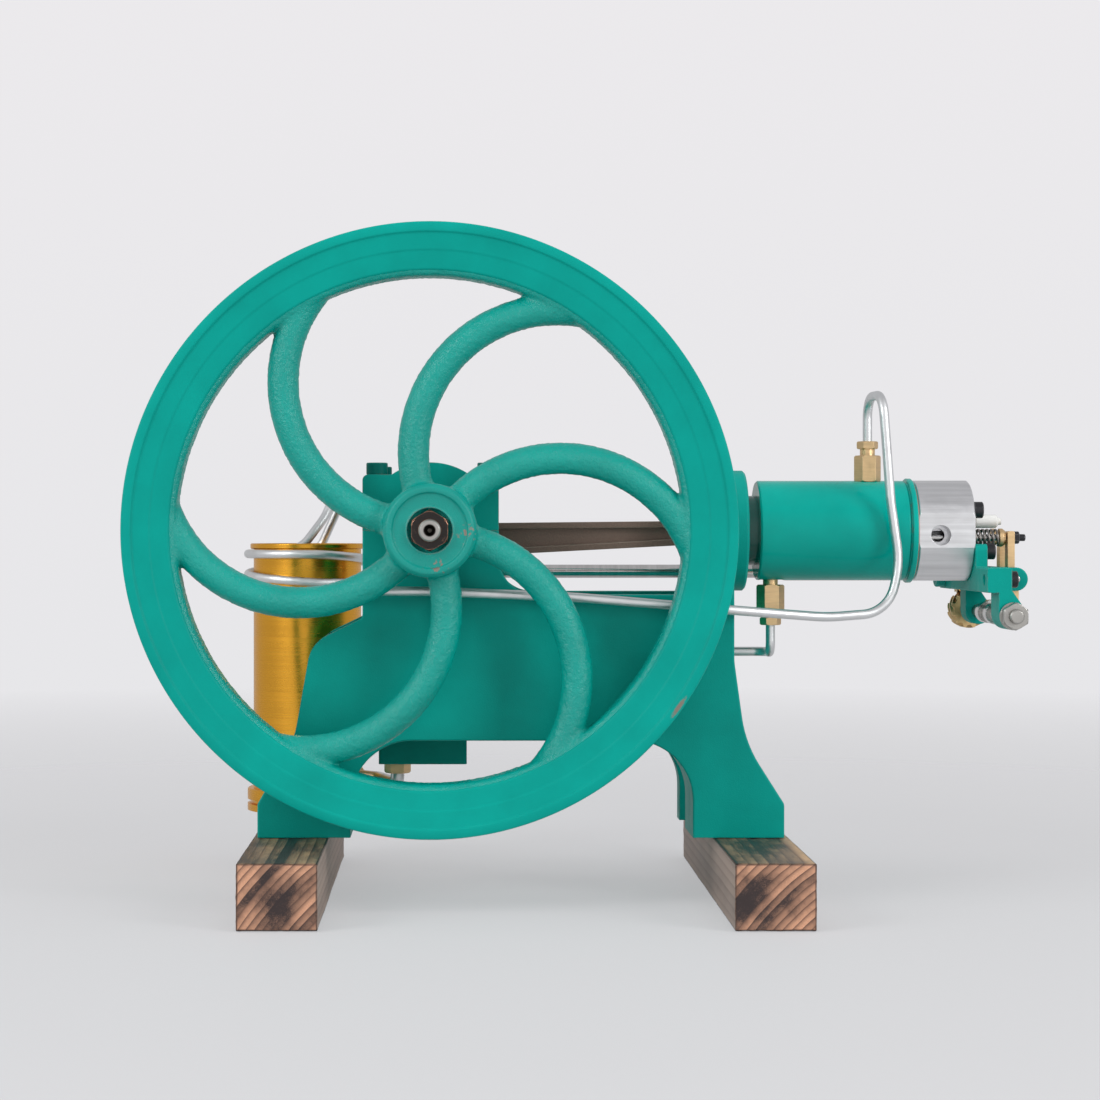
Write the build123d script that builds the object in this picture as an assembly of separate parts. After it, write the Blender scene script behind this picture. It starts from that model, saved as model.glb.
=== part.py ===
from build123d import *
import os
from math import acos, asin, atan, cos, degrees, radians, sin, sqrt, tan

# A horizontal model engine on two wooden beams: flywheel, open crank, water-cooled cylinder with
# two overhead valves, a side shaft that drives the camshaft, and a cooling tank with its pipes.
# Millimetres, +Z up. The layout counts X from the crank axis towards the cylinder head, Y from the
# cylinder's mid-plane away from the flywheel, and Z from the floor. Each part is moved to the
# middle of the footprint when it is written.

# ---------------------------------------------------------------- fits
running = 0.03  # radial clearance of what turns or slides
seat = 0.01  # radial clearance of what is pressed or screwed home
passing = 0.3  # gap between pieces that pass each other

# ---------------------------------------------------------------- driving dimensions
flywheel_diameter = 250.0
flywheel_ground_gap = 29.5
flywheel_front = 73.0  # distance of the rim's outer face from the cylinder plane
rim_width = 22.0
rim_depth = 21.5  # radial
spoke_count = 6
spoke_width = 12.6
spoke_thickness = 13.0
spoke_arc_radius = 58.5
spoke_arc_offset = 60.6  # arc centre from the wheel's axis
spoke_first_angle = 31.4
hub_radius = 19.0
hub_front = 76.0
shaft_radius = 6.0
shaft_thread_radius = 4.5
shaft_near_end = 79.5
shaft_far_end = 75.0
drive_end_radius = 4.0
take_off_radius = 3.5

beam_width = 32.0
beam_height = 26.5
beam_length = 231.0
beam_near_end = -123.0
left_beam_x = -58.4
right_beam_x = 133.8

frame_half_width = 40.0
wall_thickness = 13.0
near_leg_depth = 38.0
web_thickness = 5.0
pedestal_half = 28.4
pedestal_shoulder = 23.4  # height of the caps' flat shoulders above the crank axis
wall_drop = 26.8  # walls' top edge below the crank axis
web_drop = 87.6  # underside of the floor web below the crank axis
boss_radius = 25.9
boss_left = 111.0
boss_right = 134.6

crank_radius = 20.0
rest_crank_angle = 194.5
crank_web_thickness = 11.0
crank_web_gap = 12.5  # half the space between the webs
rod_length = 162.0
rod_width = 9.0

bore_radius = 13.0
liner_radius = 15.0
piston_crown = 20.0  # crown ahead of the wrist pin
piston_skirt = 14.0
wrist_pin_radius = 3.5
liner_left = 124.0
mouth_relief = 1.6  # how much wider the liner's mouth is, for the swinging rod
jacket_left = 139.9
jacket_right = 203.8
jacket_radius = 21.5
jacket_wall = 2.8
ring_thickness = 2.8
gasket_thickness = 0.5
head_length = 23.8
head_radius = 21.6
head_flat_height = 14.6

valve_spacing = 8.5  # each valve from the cylinder plane
valve_drop = 3.0  # valve axes below the cylinder axis
valve_stem_radius = 1.5
valve_head_radius = 3.8
tappet_gap = 0.15
spring_length = 11.2
spring_coils = 6

side_shaft_y = 52.0
side_shaft_radius = 3.0
camshaft_drop = 17.2  # camshaft axis below the side shaft's
camshaft_reach = 10.6  # camshaft axis beyond the head's face
cam_base_radius = 4.6
cam_tip_radius = 6.0
cam_width = 6.0
pivot_reach = 18.4  # rocker pivot beyond the head's face
pivot_rise = 14.8  # rocker pivot above the camshaft

tank_x = -58.0
tank_y = 76.0
tank_radius = 24.75
tank_wall = 2.25
tank_top = 148.7
tank_outlet_z = 43.6
pipe_radius = 2.0
outlet_pipe_radius = 3.0
coil_gap = 0.4

# ---------------------------------------------------------------- places worked out
axis_z = flywheel_diameter / 2 + flywheel_ground_gap
wall_top = axis_z - wall_drop
web_bottom = axis_z - web_drop
pin_x = crank_radius * cos(radians(rest_crank_angle))
pin_z = axis_z + crank_radius * sin(radians(rest_crank_angle))
wrist_x = pin_x + sqrt(rod_length**2 - (pin_z - axis_z) ** 2)
rod_rise = degrees(asin((axis_z - pin_z) / rod_length))
wrist_nearest = rod_length - crank_radius
wrist_furthest = rod_length + crank_radius
ring_right = jacket_right + ring_thickness
head_left = ring_right + gasket_thickness
head_right = head_left + head_length
valve_z = axis_z - valve_drop
gear_distance = 18.3  # crankshaft to side shaft
side_shaft_z = axis_z - gear_distance
camshaft_x = head_right + camshaft_reach
camshaft_z = side_shaft_z - camshaft_drop
pivot_x = head_right + pivot_reach
pivot_z = camshaft_z + pivot_rise
rim_middle = flywheel_front - rim_width / 2
pit_half = frame_half_width - wall_thickness
foot_left = (left_beam_x - 13.8, left_beam_x + 25.0)
foot_right = (right_beam_x - 24.5, right_beam_x + 13.6)
near_leg_y = -frame_half_width + near_leg_depth
near_screw_y = -frame_half_width + near_leg_depth / 2
far_screw_y = frame_half_width - wall_thickness / 2


# ---------------------------------------------------------------- helpers
def turned(points):
    """A solid turned about X from (x, radius) points."""
    return revolve(Plane.XZ * make_face(Polyline(*points, close=True)), Axis.X)


def bar(start, end, radius, edge=0.3, bore=0.0):
    """A round bar along X, with chamfered ends and a bore if they are given."""
    left_edge = [(start, radius - edge), (start + edge, radius)]
    right_edge = [(end - edge, radius), (end, radius - edge)]
    if not edge:
        left_edge, right_edge = left_edge[:1], right_edge[1:]
    return turned([(start, bore)] + left_edge + right_edge + [(end, bore)])


def along_x(solid, y, z):
    return Pos(0, y, z) * solid


def along_y(solid, x, z):
    return Pos(x, 0, z) * Rot(0, 0, 90) * solid


def along_z(solid, x, y):
    return Pos(x, y, 0) * Rot(0, -90, 0) * solid


def block(x0, x1, y0, y1, z0, z1):
    """A box between two corners."""
    corner = (Align.MIN, Align.MIN, Align.MIN)
    return Pos(x0, y0, z0) * Box(x1 - x0, y1 - y0, z1 - z0, align=corner)


def hexagon(start, end, flats, bore=0.0):
    """A hexagon bar along X with its corners turned off at both ends."""
    prism = extrude(RegularPolygon(flats / 2, 6, major_radius=False), end - start)
    corners = flats / sqrt(3)
    prism = (Pos(start, 0, 0) * Rot(0, 90, 0) * prism) & bar(start, end, corners, flats * 0.06)
    if bore:
        prism -= bar(start - 1, end + 1, bore, 0)
    return prism


def outline_y(corners, y0, y1):
    """An outline of (x, z, corner radius) corners in the XZ plane, as thick as y0 to y1."""
    path = FilletPolyline(*[(x, z) for x, z, r in corners], radius=[r for x, z, r in corners], close=True)
    plane = Plane(origin=(0, y1, 0), x_dir=(1, 0, 0), z_dir=(0, -1, 0))
    return extrude(plane * make_face(path), y1 - y0)


def cap_screw(radius, length, head_radius, head_height):
    """A socket cap screw along X: its head runs from 0 to head_height, its thread to -length."""
    socket = extrude(RegularPolygon(head_radius * 0.52, 6, major_radius=False), head_height)
    shank = bar(-length, 0.2, radius)
    head = bar(0, head_height, head_radius, 0.35)
    return head + shank - Pos(head_height * 0.45, 0, 0) * Rot(0, 90, 0) * socket


def pipe(points, radius, bends):
    """A round pipe through points, bent at each inner point to its own radius."""
    path = FilletPolyline(*points, radius=bends)
    start = Plane(origin=points[0], z_dir=Vector(points[1]) - Vector(points[0]))
    return sweep(start * Circle(radius), path=path)


def skew_gear(teeth, pitch_radius, helix, width, bore, hand, phase):
    """A gear for crossed shafts, along Z and centred on the origin."""
    module = 2 * pitch_radius * cos(radians(helix)) / teeth
    tip = pitch_radius + 0.55 * module
    root = pitch_radius - 0.85 * module
    step = 360 / teeth
    twist = hand * degrees(width * tan(radians(helix)) / pitch_radius)
    corners = []
    for tooth in range(teeth):
        middle = tooth * step + phase - twist / 2
        for share, radius in ((-0.33, root), (-0.13, tip), (0.13, tip), (0.33, root)):
            angle = radians(middle + share * step)
            corners.append((radius * cos(angle), radius * sin(angle)))
    section = make_face(Polyline(*corners, close=True)).face()
    gear = Solid.extrude_linear_with_rotation(section, (0, 0, 0), (0, 0, width), twist)
    return Pos(0, 0, -width / 2) * Part(gear.wrapped) - Cylinder(bore, width + 2)


def two_sides(make):
    """The same piece made for the near side, -1, and the far side, +1."""
    return Compound([make(-1), make(1)])


parts = {}


# ---------------------------------------------------------------- beams and frame
screw_radius = 2.5
screw_head_radius = 4.5
screw_head_height = 5.0
counterbore_depth = 8.0
foot_thread = 11.0


def wooden_beam(x):
    beam_end = beam_near_end + beam_length
    beam = block(x - beam_width / 2, x + beam_width / 2, beam_near_end, beam_end, 0, beam_height)
    beam = fillet(beam.edges(), 1.0)
    holes = [near_screw_y, far_screw_y]
    if x == left_beam_x:
        holes.append(tank_y)
    for y in holes:
        beam -= along_z(bar(-1, counterbore_depth, screw_head_radius + passing, 0), x, y)
        beam -= along_z(bar(0, beam_height + 1, screw_radius + passing, 0), x, y)
    return beam


def base_screws():
    length = beam_height - counterbore_depth + foot_thread
    screw = Rot(0, 90, 0) * cap_screw(screw_radius, length, screw_head_radius, screw_head_height)
    places = [(x, y) for x in (left_beam_x, right_beam_x) for y in (near_screw_y, far_screw_y)]
    places.append((left_beam_x, tank_y))
    return Compound([Pos(x, y, counterbore_depth) * screw for x, y in places])


def frame_casting():
    foot_top = beam_height + 14.0
    shoulder_x = boss_right - 8.0
    outline = [
        (-pedestal_half, axis_z, 0),
        (pedestal_half, axis_z, 0),
        (pedestal_half, wall_top, 16),
        (boss_left + 6, wall_top, 9.5),
        (boss_left + 6, wall_top + 12, 2),
        (shoulder_x, wall_top + 12, 2),
        (shoulder_x, web_bottom + 33, 30),
        (foot_right[0] + 22, web_bottom - 1, 50),
        (foot_right[1], foot_top, 3),
        (foot_right[1], beam_height, 0),
        (foot_right[0], beam_height, 0),
        (foot_right[0], web_bottom, 25),
        (foot_left[1], web_bottom, 26),
        (foot_left[1], beam_height, 0),
        (foot_left[0], beam_height, 0),
        (foot_left[0], foot_top, 3),
        (foot_left[0] + 15.2, web_bottom, 40),
        (foot_left[0] + 22.4, wall_top - 20.2, 14),
        (-pedestal_half, wall_top - 9.7, 3),
    ]
    frame = outline_y(outline, -frame_half_width, frame_half_width)
    sides = frame.faces().filter_by(Axis.Y)
    seats = (beam_height, axis_z)
    rims = [e for e in sides.edges() if min(abs(e.center().Z - z) for z in seats) > 0.1]
    frame = fillet(rims, 0.8)
    pit_floor = web_bottom + web_thickness
    frame -= block(foot_left[0] + 27.2, boss_left + 4, -pit_half, pit_half, pit_floor, axis_z + 1)
    frame -= block(
        foot_left[0] - 1, foot_right[1] + 1, near_leg_y, pit_half, beam_height - 1, web_bottom
    )
    frame += along_x(bar(boss_left, boss_right, boss_radius, 0.8), 0, axis_z)
    frame -= along_x(bar(boss_left - 8, liner_left, liner_radius + 2.6, 0), 0, axis_z)
    frame -= along_x(bar(liner_left - 1, boss_right + 1, liner_radius + seat, 0), 0, axis_z)
    frame -= along_y(bar(-frame_half_width - 1, frame_half_width + 1, bush_radius + seat, 0), 0, axis_z)
    for side in (-1, 1):
        for x in cap_screw_places:
            hole = bar(axis_z - cap_thread - 1, axis_z + 1, screw_radius + seat, 0)
            frame -= along_z(hole, x, side * far_screw_y)
    for x in (left_beam_x, right_beam_x):
        for y in (near_screw_y, far_screw_y):
            hole = bar(beam_height - 1, beam_height + foot_thread + 1, screw_radius + seat, 0)
            frame -= along_z(hole, x, y)
    return_hole = bar(boss_left, foot_right[1], pipe_radius + passing, 0)
    frame -= along_x(return_hole, manifold_y, return_pipe_z)
    frame -= along_z(
        bar(web_bottom - 1, pit_floor + 1, pipe_radius + passing, 0), return_end_x, manifold_y
    )
    for z in side_bearing_screw_z:
        hole = bar(frame_half_width - 7, frame_half_width + 1, small_screw_radius + seat, 0)
        frame -= along_y(hole, side_bearing_screw_x, z)
    return frame


bush_radius = 8.0
cap_screw_places = (-22.5, 24.0)
cap_thread = 11.5
return_pipe_z = axis_z - 52.7
return_end_x = -4.0
manifold_y = 13.0
small_screw_radius = 2.0
small_head_radius = 3.5
small_head_height = 4.0
small_screw_length = 11.0
side_bearing_screw_x = 12.8
side_bearing_screw_z = (side_shaft_z - 3.7, side_shaft_z + 11.3)


def bearing_cap(side):
    low, high = sorted((side * frame_half_width, side * pit_half))
    cap = outline_y(
        [
            (-pedestal_half, axis_z, 0),
            (-pedestal_half, axis_z + pedestal_shoulder, 2.5),
            (pedestal_half, axis_z + pedestal_shoulder, 2.5),
            (pedestal_half, axis_z, 0),
        ],
        low,
        high,
    )
    dome = along_y(bar(low, high, pedestal_half, 0), 0, axis_z)
    upper = block(-pedestal_half, pedestal_half, low, high, axis_z, axis_z + pedestal_half)
    cap += dome & upper
    cap -= along_y(bar(low - 1, high + 1, bush_radius + seat, 0), 0, axis_z)
    for x in cap_screw_places:
        hole = bar(axis_z - 1, axis_z + pedestal_half, screw_radius + passing, 0)
        cap -= along_z(hole, x, side * far_screw_y)
    return cap


def cap_screws():
    length = pedestal_shoulder + cap_thread
    screw = Rot(0, -90, 0) * cap_screw(screw_radius, length, screw_head_radius, screw_head_height)
    top = axis_z + pedestal_shoulder
    return Compound(
        [
            Pos(x, side * far_screw_y, top) * screw
            for x in cap_screw_places
            for side in (-1, 1)
        ]
    )


def crank_bush(side):
    length = turned(
        [
            (pit_half - 1.7, shaft_radius + running),
            (pit_half - 1.7, bush_radius + 2.5),
            (pit_half, bush_radius + 2.5),
            (pit_half, bush_radius),
            (frame_half_width, bush_radius),
            (frame_half_width, shaft_radius + running),
        ]
    )
    if side < 0:
        length = Rot(0, 180, 0) * length
    return along_y(length, 0, axis_z)


parts["left_beam"] = wooden_beam(left_beam_x)
parts["right_beam"] = wooden_beam(right_beam_x)
parts["base_screws"] = base_screws()
parts["engine_frame"] = frame_casting()
parts["near_bearing_cap"] = bearing_cap(-1)
parts["far_bearing_cap"] = bearing_cap(1)
parts["bearing_cap_screws"] = cap_screws()
parts["crank_bushes"] = two_sides(crank_bush)


# ---------------------------------------------------------------- flywheel and crankshaft
bore_floor = hub_front - 4.5
key_size = 3.0
key_top = 7.4
nut_flats = 14.8
counterbore_radius = 8.9
near_side = Plane(origin=(0, 0, axis_z), x_dir=(1, 0, 0), z_dir=(0, -1, 0))


def spoke(number):
    """One curved spoke in the wheel's own plane, its section an oval swung about the arc's centre."""
    angle = radians(spoke_first_angle + 360 / spoke_count * number)
    centre = Vector(spoke_arc_offset * cos(angle), spoke_arc_offset * sin(angle), rim_middle)

    def swing(reach):
        """How far round its arc the spoke has come at this distance from the wheel's axis."""
        squares = spoke_arc_offset**2 + spoke_arc_radius**2 - reach**2
        return acos(squares / (2 * spoke_arc_offset * spoke_arc_radius))

    first = swing(hub_radius - 5)
    last = swing(flywheel_diameter / 2 - rim_depth + 5)
    out = Vector(-cos(angle - first), -sin(angle - first), 0)
    section = Plane(origin=centre + out * spoke_arc_radius, x_dir=out, z_dir=out.cross(Vector(0, 0, 1)))
    oval = section * Ellipse(spoke_width / 2, spoke_thickness / 2)
    return revolve(oval, Axis(centre, (0, 0, -1)), degrees(last - first))


def flywheel():
    rim_radius = flywheel_diameter / 2
    half = rim_width / 2
    inner = rim_radius - rim_depth
    face = [
        (inner, half - 5.0),
        (inner + 1.4, half - 3.4),
        (inner + 8.6, half - 2.6),
        (inner + 9.4, half - 1.5),
        (inner + 16.0, half - 1.1),
        (inner + 16.4, half - 1.9),
        (inner + 17.4, half - 1.9),
        (inner + 17.8, half),
        (rim_radius - 0.7, half),
        (rim_radius, half - 0.7),
    ]
    section = [(r, rim_middle + z) for r, z in face]
    section += [(r, rim_middle - z) for r, z in reversed(face)]
    rim = revolve(Plane.XZ * make_face(Polyline(*section, close=True)), Axis.Z)
    hub_section = [
        (shaft_radius + seat, hub_front - 33.0),
        (hub_radius - 5.0, hub_front - 33.0),
        (hub_radius - 4.0, hub_front - 32.0),
        (hub_radius - 4.0, hub_front - 25.5),
        (hub_radius - 1.0, hub_front - 23.5),
        (hub_radius, hub_front - 21.5),
        (hub_radius, hub_front - 1.5),
        (hub_radius - 1.4, hub_front),
        (hub_radius - 3.8, hub_front),
        (hub_radius - 4.4, hub_front - 0.9),
        (counterbore_radius + 0.6, hub_front - 0.9),
        (counterbore_radius, hub_front - 1.5),
        (counterbore_radius, bore_floor),
        (shaft_radius + seat, bore_floor),
    ]
    hub = revolve(Plane.XZ * make_face(Polyline(*hub_section, close=True)), Axis.Z)
    spokes = [spoke(number) for number in range(spoke_count)]
    core = Cylinder(shaft_radius + seat, 60, align=(Align.CENTER, Align.CENTER, Align.MIN))
    wheel = rim + hub + spokes - Pos(0, 0, bore_floor - 50) * core
    slot = block(-key_size / 2, key_size / 2, 0, key_top + seat, bore_floor - 25, bore_floor)
    return near_side.location * (wheel - slot)


def crank_web():
    """A web with round ends, from the shaft to the crank pin, in the wheel's own plane."""
    ends = Circle(crank_radius * 0.46) + Pos(crank_radius, 0) * Circle(crank_radius * 0.4)
    return extrude(make_hull(ends.edges()), crank_web_thickness)


def crankshaft():
    turn = Rot(0, 0, rest_crank_angle)
    web_outer = crank_web_gap + crank_web_thickness
    near_web = near_side.location * Pos(0, 0, crank_web_gap) * turn * crank_web()
    far_web = near_side.location * Pos(0, 0, -web_outer) * turn * crank_web()
    near = turned(
        [
            (-web_outer + 1, 0),
            (-web_outer + 1, shaft_radius),
            (-bore_floor + 0.5, shaft_radius),
            (-bore_floor + 0.5, shaft_thread_radius),
            (-shaft_near_end + 0.6, shaft_thread_radius),
            (-shaft_near_end, shaft_thread_radius - 0.6),
            (-shaft_near_end, 2.2),
            (-shaft_near_end + 2.0, 1.0),
            (-shaft_near_end + 4.0, 0),
        ]
    )
    far = turned(
        [
            (web_outer - 1, 0),
            (web_outer - 1, shaft_radius),
            (drive_gear_y - gear_width / 2 - passing, shaft_radius),
            (drive_gear_y - gear_width / 2 - passing, drive_end_radius),
            (drive_gear_y + gear_width / 2 + 0.5, drive_end_radius),
            (drive_gear_y + gear_width / 2 + 0.5, take_off_radius),
            (shaft_far_end - 0.6, take_off_radius),
            (shaft_far_end, take_off_radius - 0.6),
            (shaft_far_end, 0),
        ]
    )
    key_seat = block(-key_size / 2, key_size / 2, -bore_floor + 2, -bore_floor + 22, axis_z + 4, axis_z + 8)
    near_half = near_web + along_y(near, 0, axis_z) - key_seat
    far_half = far_web + along_y(far, 0, axis_z)
    return Compound([near_half.solid(), far_half.solid()])


def flywheel_key():
    half = key_size / 2 - seat
    front = -bore_floor + 2 + seat
    return block(-half, half, front, front + 20 - 2 * seat, axis_z + 4 + seat, axis_z + key_top)


def flywheel_nut():
    front = -bore_floor - 6.2
    return along_y(hexagon(front, -bore_floor, nut_flats, shaft_thread_radius + seat), 0, axis_z)


def crank_pin():
    reach = crank_web_gap - passing
    return along_y(bar(-reach, reach, big_end_bore - seat, 0.4), pin_x, pin_z)


gear_width = 12.0
drive_gear_y = side_shaft_y
big_end_bore = 5.0

parts["flywheel"] = flywheel()
parts["flywheel_key"] = flywheel_key()
parts["flywheel_nut"] = flywheel_nut()
parts["crankshaft"] = crankshaft()


# ---------------------------------------------------------------- connecting rod and piston
def connecting_rod():
    """Laid along X from the crank pin, then turned to its slope at rest."""
    big_half = 7.9
    small_half = 4.6
    flange = 2.6
    pocket = rod_width / 2 - 1.6
    start, end = 8.0, rod_length - 6.0
    body = outline_y(
        [(0, -big_half, 0), (end, -small_half, 0), (end, small_half, 0), (0, big_half, 0)],
        -rod_width / 2,
        rod_width / 2,
    )
    for side in (-1, 1):
        low, high = sorted((side * rod_width / 2, side * (rod_width / 2 - pocket)))
        body -= outline_y(
            [
                (start + 6, -big_half + flange + 0.2, 2),
                (end - 5, -small_half + flange, 1.5),
                (end - 5, small_half - flange, 1.5),
                (start + 6, big_half - flange - 0.2, 2),
            ],
            low,
            high,
        )
    reach = crank_web_gap - 1.0
    body += Rot(0, 0, 90) * bar(-reach, reach, big_end_bore + 4.8, 0.6)
    small_end = Rot(0, 0, 90) * bar(-rod_width / 2, rod_width / 2, wrist_pin_radius + 3.2, 0.4)
    body += Pos(rod_length, 0, 0) * small_end
    body -= Rot(0, 0, 90) * bar(-reach - 1, reach + 1, big_end_bore, 0)
    body -= Pos(rod_length, 0, 0) * Rot(0, 0, 90) * bar(-9, 9, wrist_pin_radius + running, 0)
    return Pos(pin_x, 0, pin_z) * Rot(0, -rod_rise, 0) * body


def piston():
    left = wrist_x - piston_skirt
    right = wrist_x + piston_crown
    radius = bore_radius - running
    body = along_x(bar(left, right, radius, 0.4), 0, axis_z)
    body -= along_x(bar(left - 1, right - 8, radius - 2.5, 0), 0, axis_z)
    bosses = along_y(bar(-radius + 1, radius - 1, wrist_pin_radius + 2.5, 0), wrist_x, axis_z)
    bosses &= along_x(bar(left, right, radius - 0.5, 0), 0, axis_z)
    room = rod_width / 2 + 1.0
    bosses -= block(wrist_x - 9, wrist_x + 9, -room, room, axis_z - 9, axis_z + 9)
    body += bosses
    reach = radius + 1
    body -= along_y(bar(-reach, reach, wrist_pin_radius + seat, 0), wrist_x, axis_z)
    for back in ring_places:
        body -= along_x(
            bar(right - back - ring_width, right - back, radius + 1, 0, radius - 2.0), 0, axis_z
        )
    return body


def piston_rings():
    right = wrist_x + piston_crown
    return Compound(
        [
            along_x(
                bar(
                    right - back - ring_width + 0.05,
                    right - back - 0.05,
                    bore_radius - 0.015,
                    0,
                    bore_radius - running - 1.8,
                ),
                0,
                axis_z,
            )
            for back in ring_places
        ]
    )


ring_width = 1.6
ring_places = (2.5, 5.6)

parts["crank_pin"] = crank_pin()
parts["connecting_rod"] = connecting_rod()
parts["piston"] = piston()
parts["piston_rings"] = piston_rings()
parts["wrist_pin"] = along_y(bar(-11.5, 11.5, wrist_pin_radius, 0.3), wrist_x, axis_z)


# ---------------------------------------------------------------- cylinder
head_screw_radius = 17.55
head_screw_places = [
    (sy * head_screw_radius * cos(radians(30)), sz * head_screw_radius * sin(radians(30)))
    for sy in (-1, 1)
    for sz in (-1, 1)
]
lug_thickness = 5.1
top_fitting_x = jacket_right - 15.6
bottom_fitting_x = jacket_left + 6.4
fitting_seat = jacket_radius - 0.4  # distance of the fittings' flat seats from the axis
fitting_thread_radius = 3.0
seal_radius = 0.5
port_x = head_left + 9.2
port_z = axis_z - 2.0
plug_z = axis_z + 4.0
plug_radius = 3.15
throat_depth = 12.4
chamber_depth = 2.0


def screw_holes(start, end, radius):
    return [along_x(bar(start, end, radius, 0), y, axis_z + z) for y, z in head_screw_places]


def cylinder_liner():
    liner = turned(
        [
            (liner_left - 3, bore_radius + mouth_relief),
            (liner_left - 3, liner_radius + 2.2),
            (liner_left, liner_radius + 2.2),
            (liner_left, liner_radius),
            (ring_right, liner_radius),
            (ring_right, bore_radius),
            (liner_left + 7.5, bore_radius),
        ]
    )
    return along_x(liner, 0, axis_z)


def water_jacket():
    water_left = jacket_left + 5.0
    water_right = jacket_right - 11.8
    shell = bar(jacket_left, jacket_right, jacket_radius, 0.7, liner_radius + seat)
    water = bar(water_left, water_right, jacket_radius - jacket_wall, 0, liner_radius - 1)
    shell -= water
    for x in seal_places:
        shell -= bar(x - seal_radius, x + seal_radius, liner_radius + 2 * seal_radius + seat, 0)
    shell = along_x(shell, 0, axis_z)
    for hole in screw_holes(water_right + 1, jacket_right + 1, small_screw_radius + seat):
        shell -= hole
    low, high = axis_z - fitting_seat, axis_z + fitting_seat
    shell -= along_z(bar(high, high + 3, 6.2, 0), top_fitting_x, 0)
    shell -= along_z(bar(high - 6, high + 1, fitting_thread_radius, 0), top_fitting_x, 0)
    shell -= along_z(bar(low - 3, low, 6.2, 0), bottom_fitting_x, 0)
    shell -= along_z(bar(low - 1, low + 4, fitting_thread_radius, 0), bottom_fitting_x, 0)
    return shell


def jacket_seals():
    ring = Rot(0, 90, 0) * Torus(liner_radius + seal_radius, seal_radius - seat)
    return Compound([Pos(x, 0, axis_z) * ring for x in seal_places])


def jacket_ring():
    ring = turned(
        [
            (jacket_right, liner_radius + seat),
            (jacket_right, jacket_radius - 0.6),
            (jacket_right + 0.5, jacket_radius - 0.6),
            (jacket_right + 0.5, jacket_radius + 0.7),
            (jacket_right + 0.8, jacket_radius + 1.0),
            (ring_right - 0.3, jacket_radius + 1.0),
            (ring_right, jacket_radius + 0.7),
            (ring_right, liner_radius + seat),
        ]
    )
    ring = along_x(ring, 0, axis_z)
    for hole in screw_holes(jacket_right - 1, ring_right + 1, small_screw_radius + 0.2):
        ring -= hole
    return ring


def head_gasket():
    gasket = along_x(bar(ring_right, head_left, head_radius - 0.4, 0, bore_radius + 0.3), 0, axis_z)
    for hole in screw_holes(ring_right - 1, head_left + 1, small_screw_radius + 0.2):
        gasket -= hole
    return gasket


def cylinder_head():
    head = bar(head_left, head_right, head_radius, 0.6)
    head -= bar(head_left - 1, head_left + chamber_depth, bore_radius, 0)
    head = along_x(head, 0, axis_z)
    flat = sqrt(head_radius**2 - (head_flat_height / 2) ** 2)
    seat_x = head_left + chamber_depth
    for side in (-1, 1):
        low, high = sorted((side * flat, side * (head_radius + 1)))
        head -= block(head_left - 1, head_right + 1, low, high, axis_z - head_radius, axis_z + head_radius)
        y = side * valve_spacing
        head -= along_x(bar(seat_x - 1, seat_x + throat_depth, valve_head_radius - 0.9, 0), y, valve_z)
        head -= along_x(bar(seat_x + throat_depth - 1, head_right + 1, guide_radius + seat, 0), y, valve_z)
        low, high = sorted((y, side * (flat - 8)))
        head -= along_y(bar(low, high, valve_head_radius - 0.9, 0), port_x, port_z)
        low, high = sorted((side * (flat - 8), side * (flat + 1)))
        head -= along_y(bar(low, high, port_radius, 0), port_x, port_z)
    head -= along_x(bar(seat_x - 1, head_right + 1, plug_radius + seat, 0), 0, plug_z)
    for hole in screw_holes(head_left - 1, head_right + 1, small_screw_radius + 0.2):
        head -= hole
    return head


def head_screws():
    screws = []
    for y, z in head_screw_places:
        under_head = head_right + (lug_thickness if z < 0 else 0)
        length = under_head - jacket_right + 8
        screw = cap_screw(small_screw_radius, length, small_head_radius, small_head_height)
        screws.append(Pos(under_head, y, axis_z + z) * screw)
    return Compound(screws)


seal_places = (jacket_left + 1.1, jacket_right - 10.0)
guide_radius = 2.5
port_radius = 4.25

parts["cylinder_liner"] = cylinder_liner()
parts["water_jacket"] = water_jacket()
parts["jacket_seals"] = jacket_seals()
parts["jacket_ring"] = jacket_ring()
parts["head_gasket"] = head_gasket()
parts["cylinder_head"] = cylinder_head()
parts["head_screws"] = head_screws()
parts["spark_plug"] = along_x(
    bar(head_left + chamber_depth, head_right, plug_radius, 0.3)
    + hexagon(head_right, head_right + 3.6, 8.0),
    0,
    plug_z,
)
parts["spark_plug_insulator"] = along_x(
    turned(
        [
            (head_right + 3.6, 0),
            (head_right + 3.6, 2.9),
            (head_right + 12.6, 2.9),
            (head_right + 13.4, 2.1),
            (head_right + 13.4, 1.5),
            (head_right + 14.8, 1.5),
            (head_right + 14.8, 0),
        ]
    ),
    0,
    plug_z,
)


# ---------------------------------------------------------------- valve gear bracket
beam_right = head_right + 10.3
bar_low = pivot_z - 5.2
bar_high = pivot_z + 5.2
near_ear = (-45.0, -29.0)
far_ear = (26.0, 38.0)
arm_end_y = 61.0
arm_right = head_right + 4.6
ear_radius = 5.8
pivot_screw_y = 22.0
plate_thickness = 3.0
plate_right = beam_right + plate_thickness
pivot_pin_radius = 1.5
rocker_width = 6.0
lug_gap = 0.5


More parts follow.
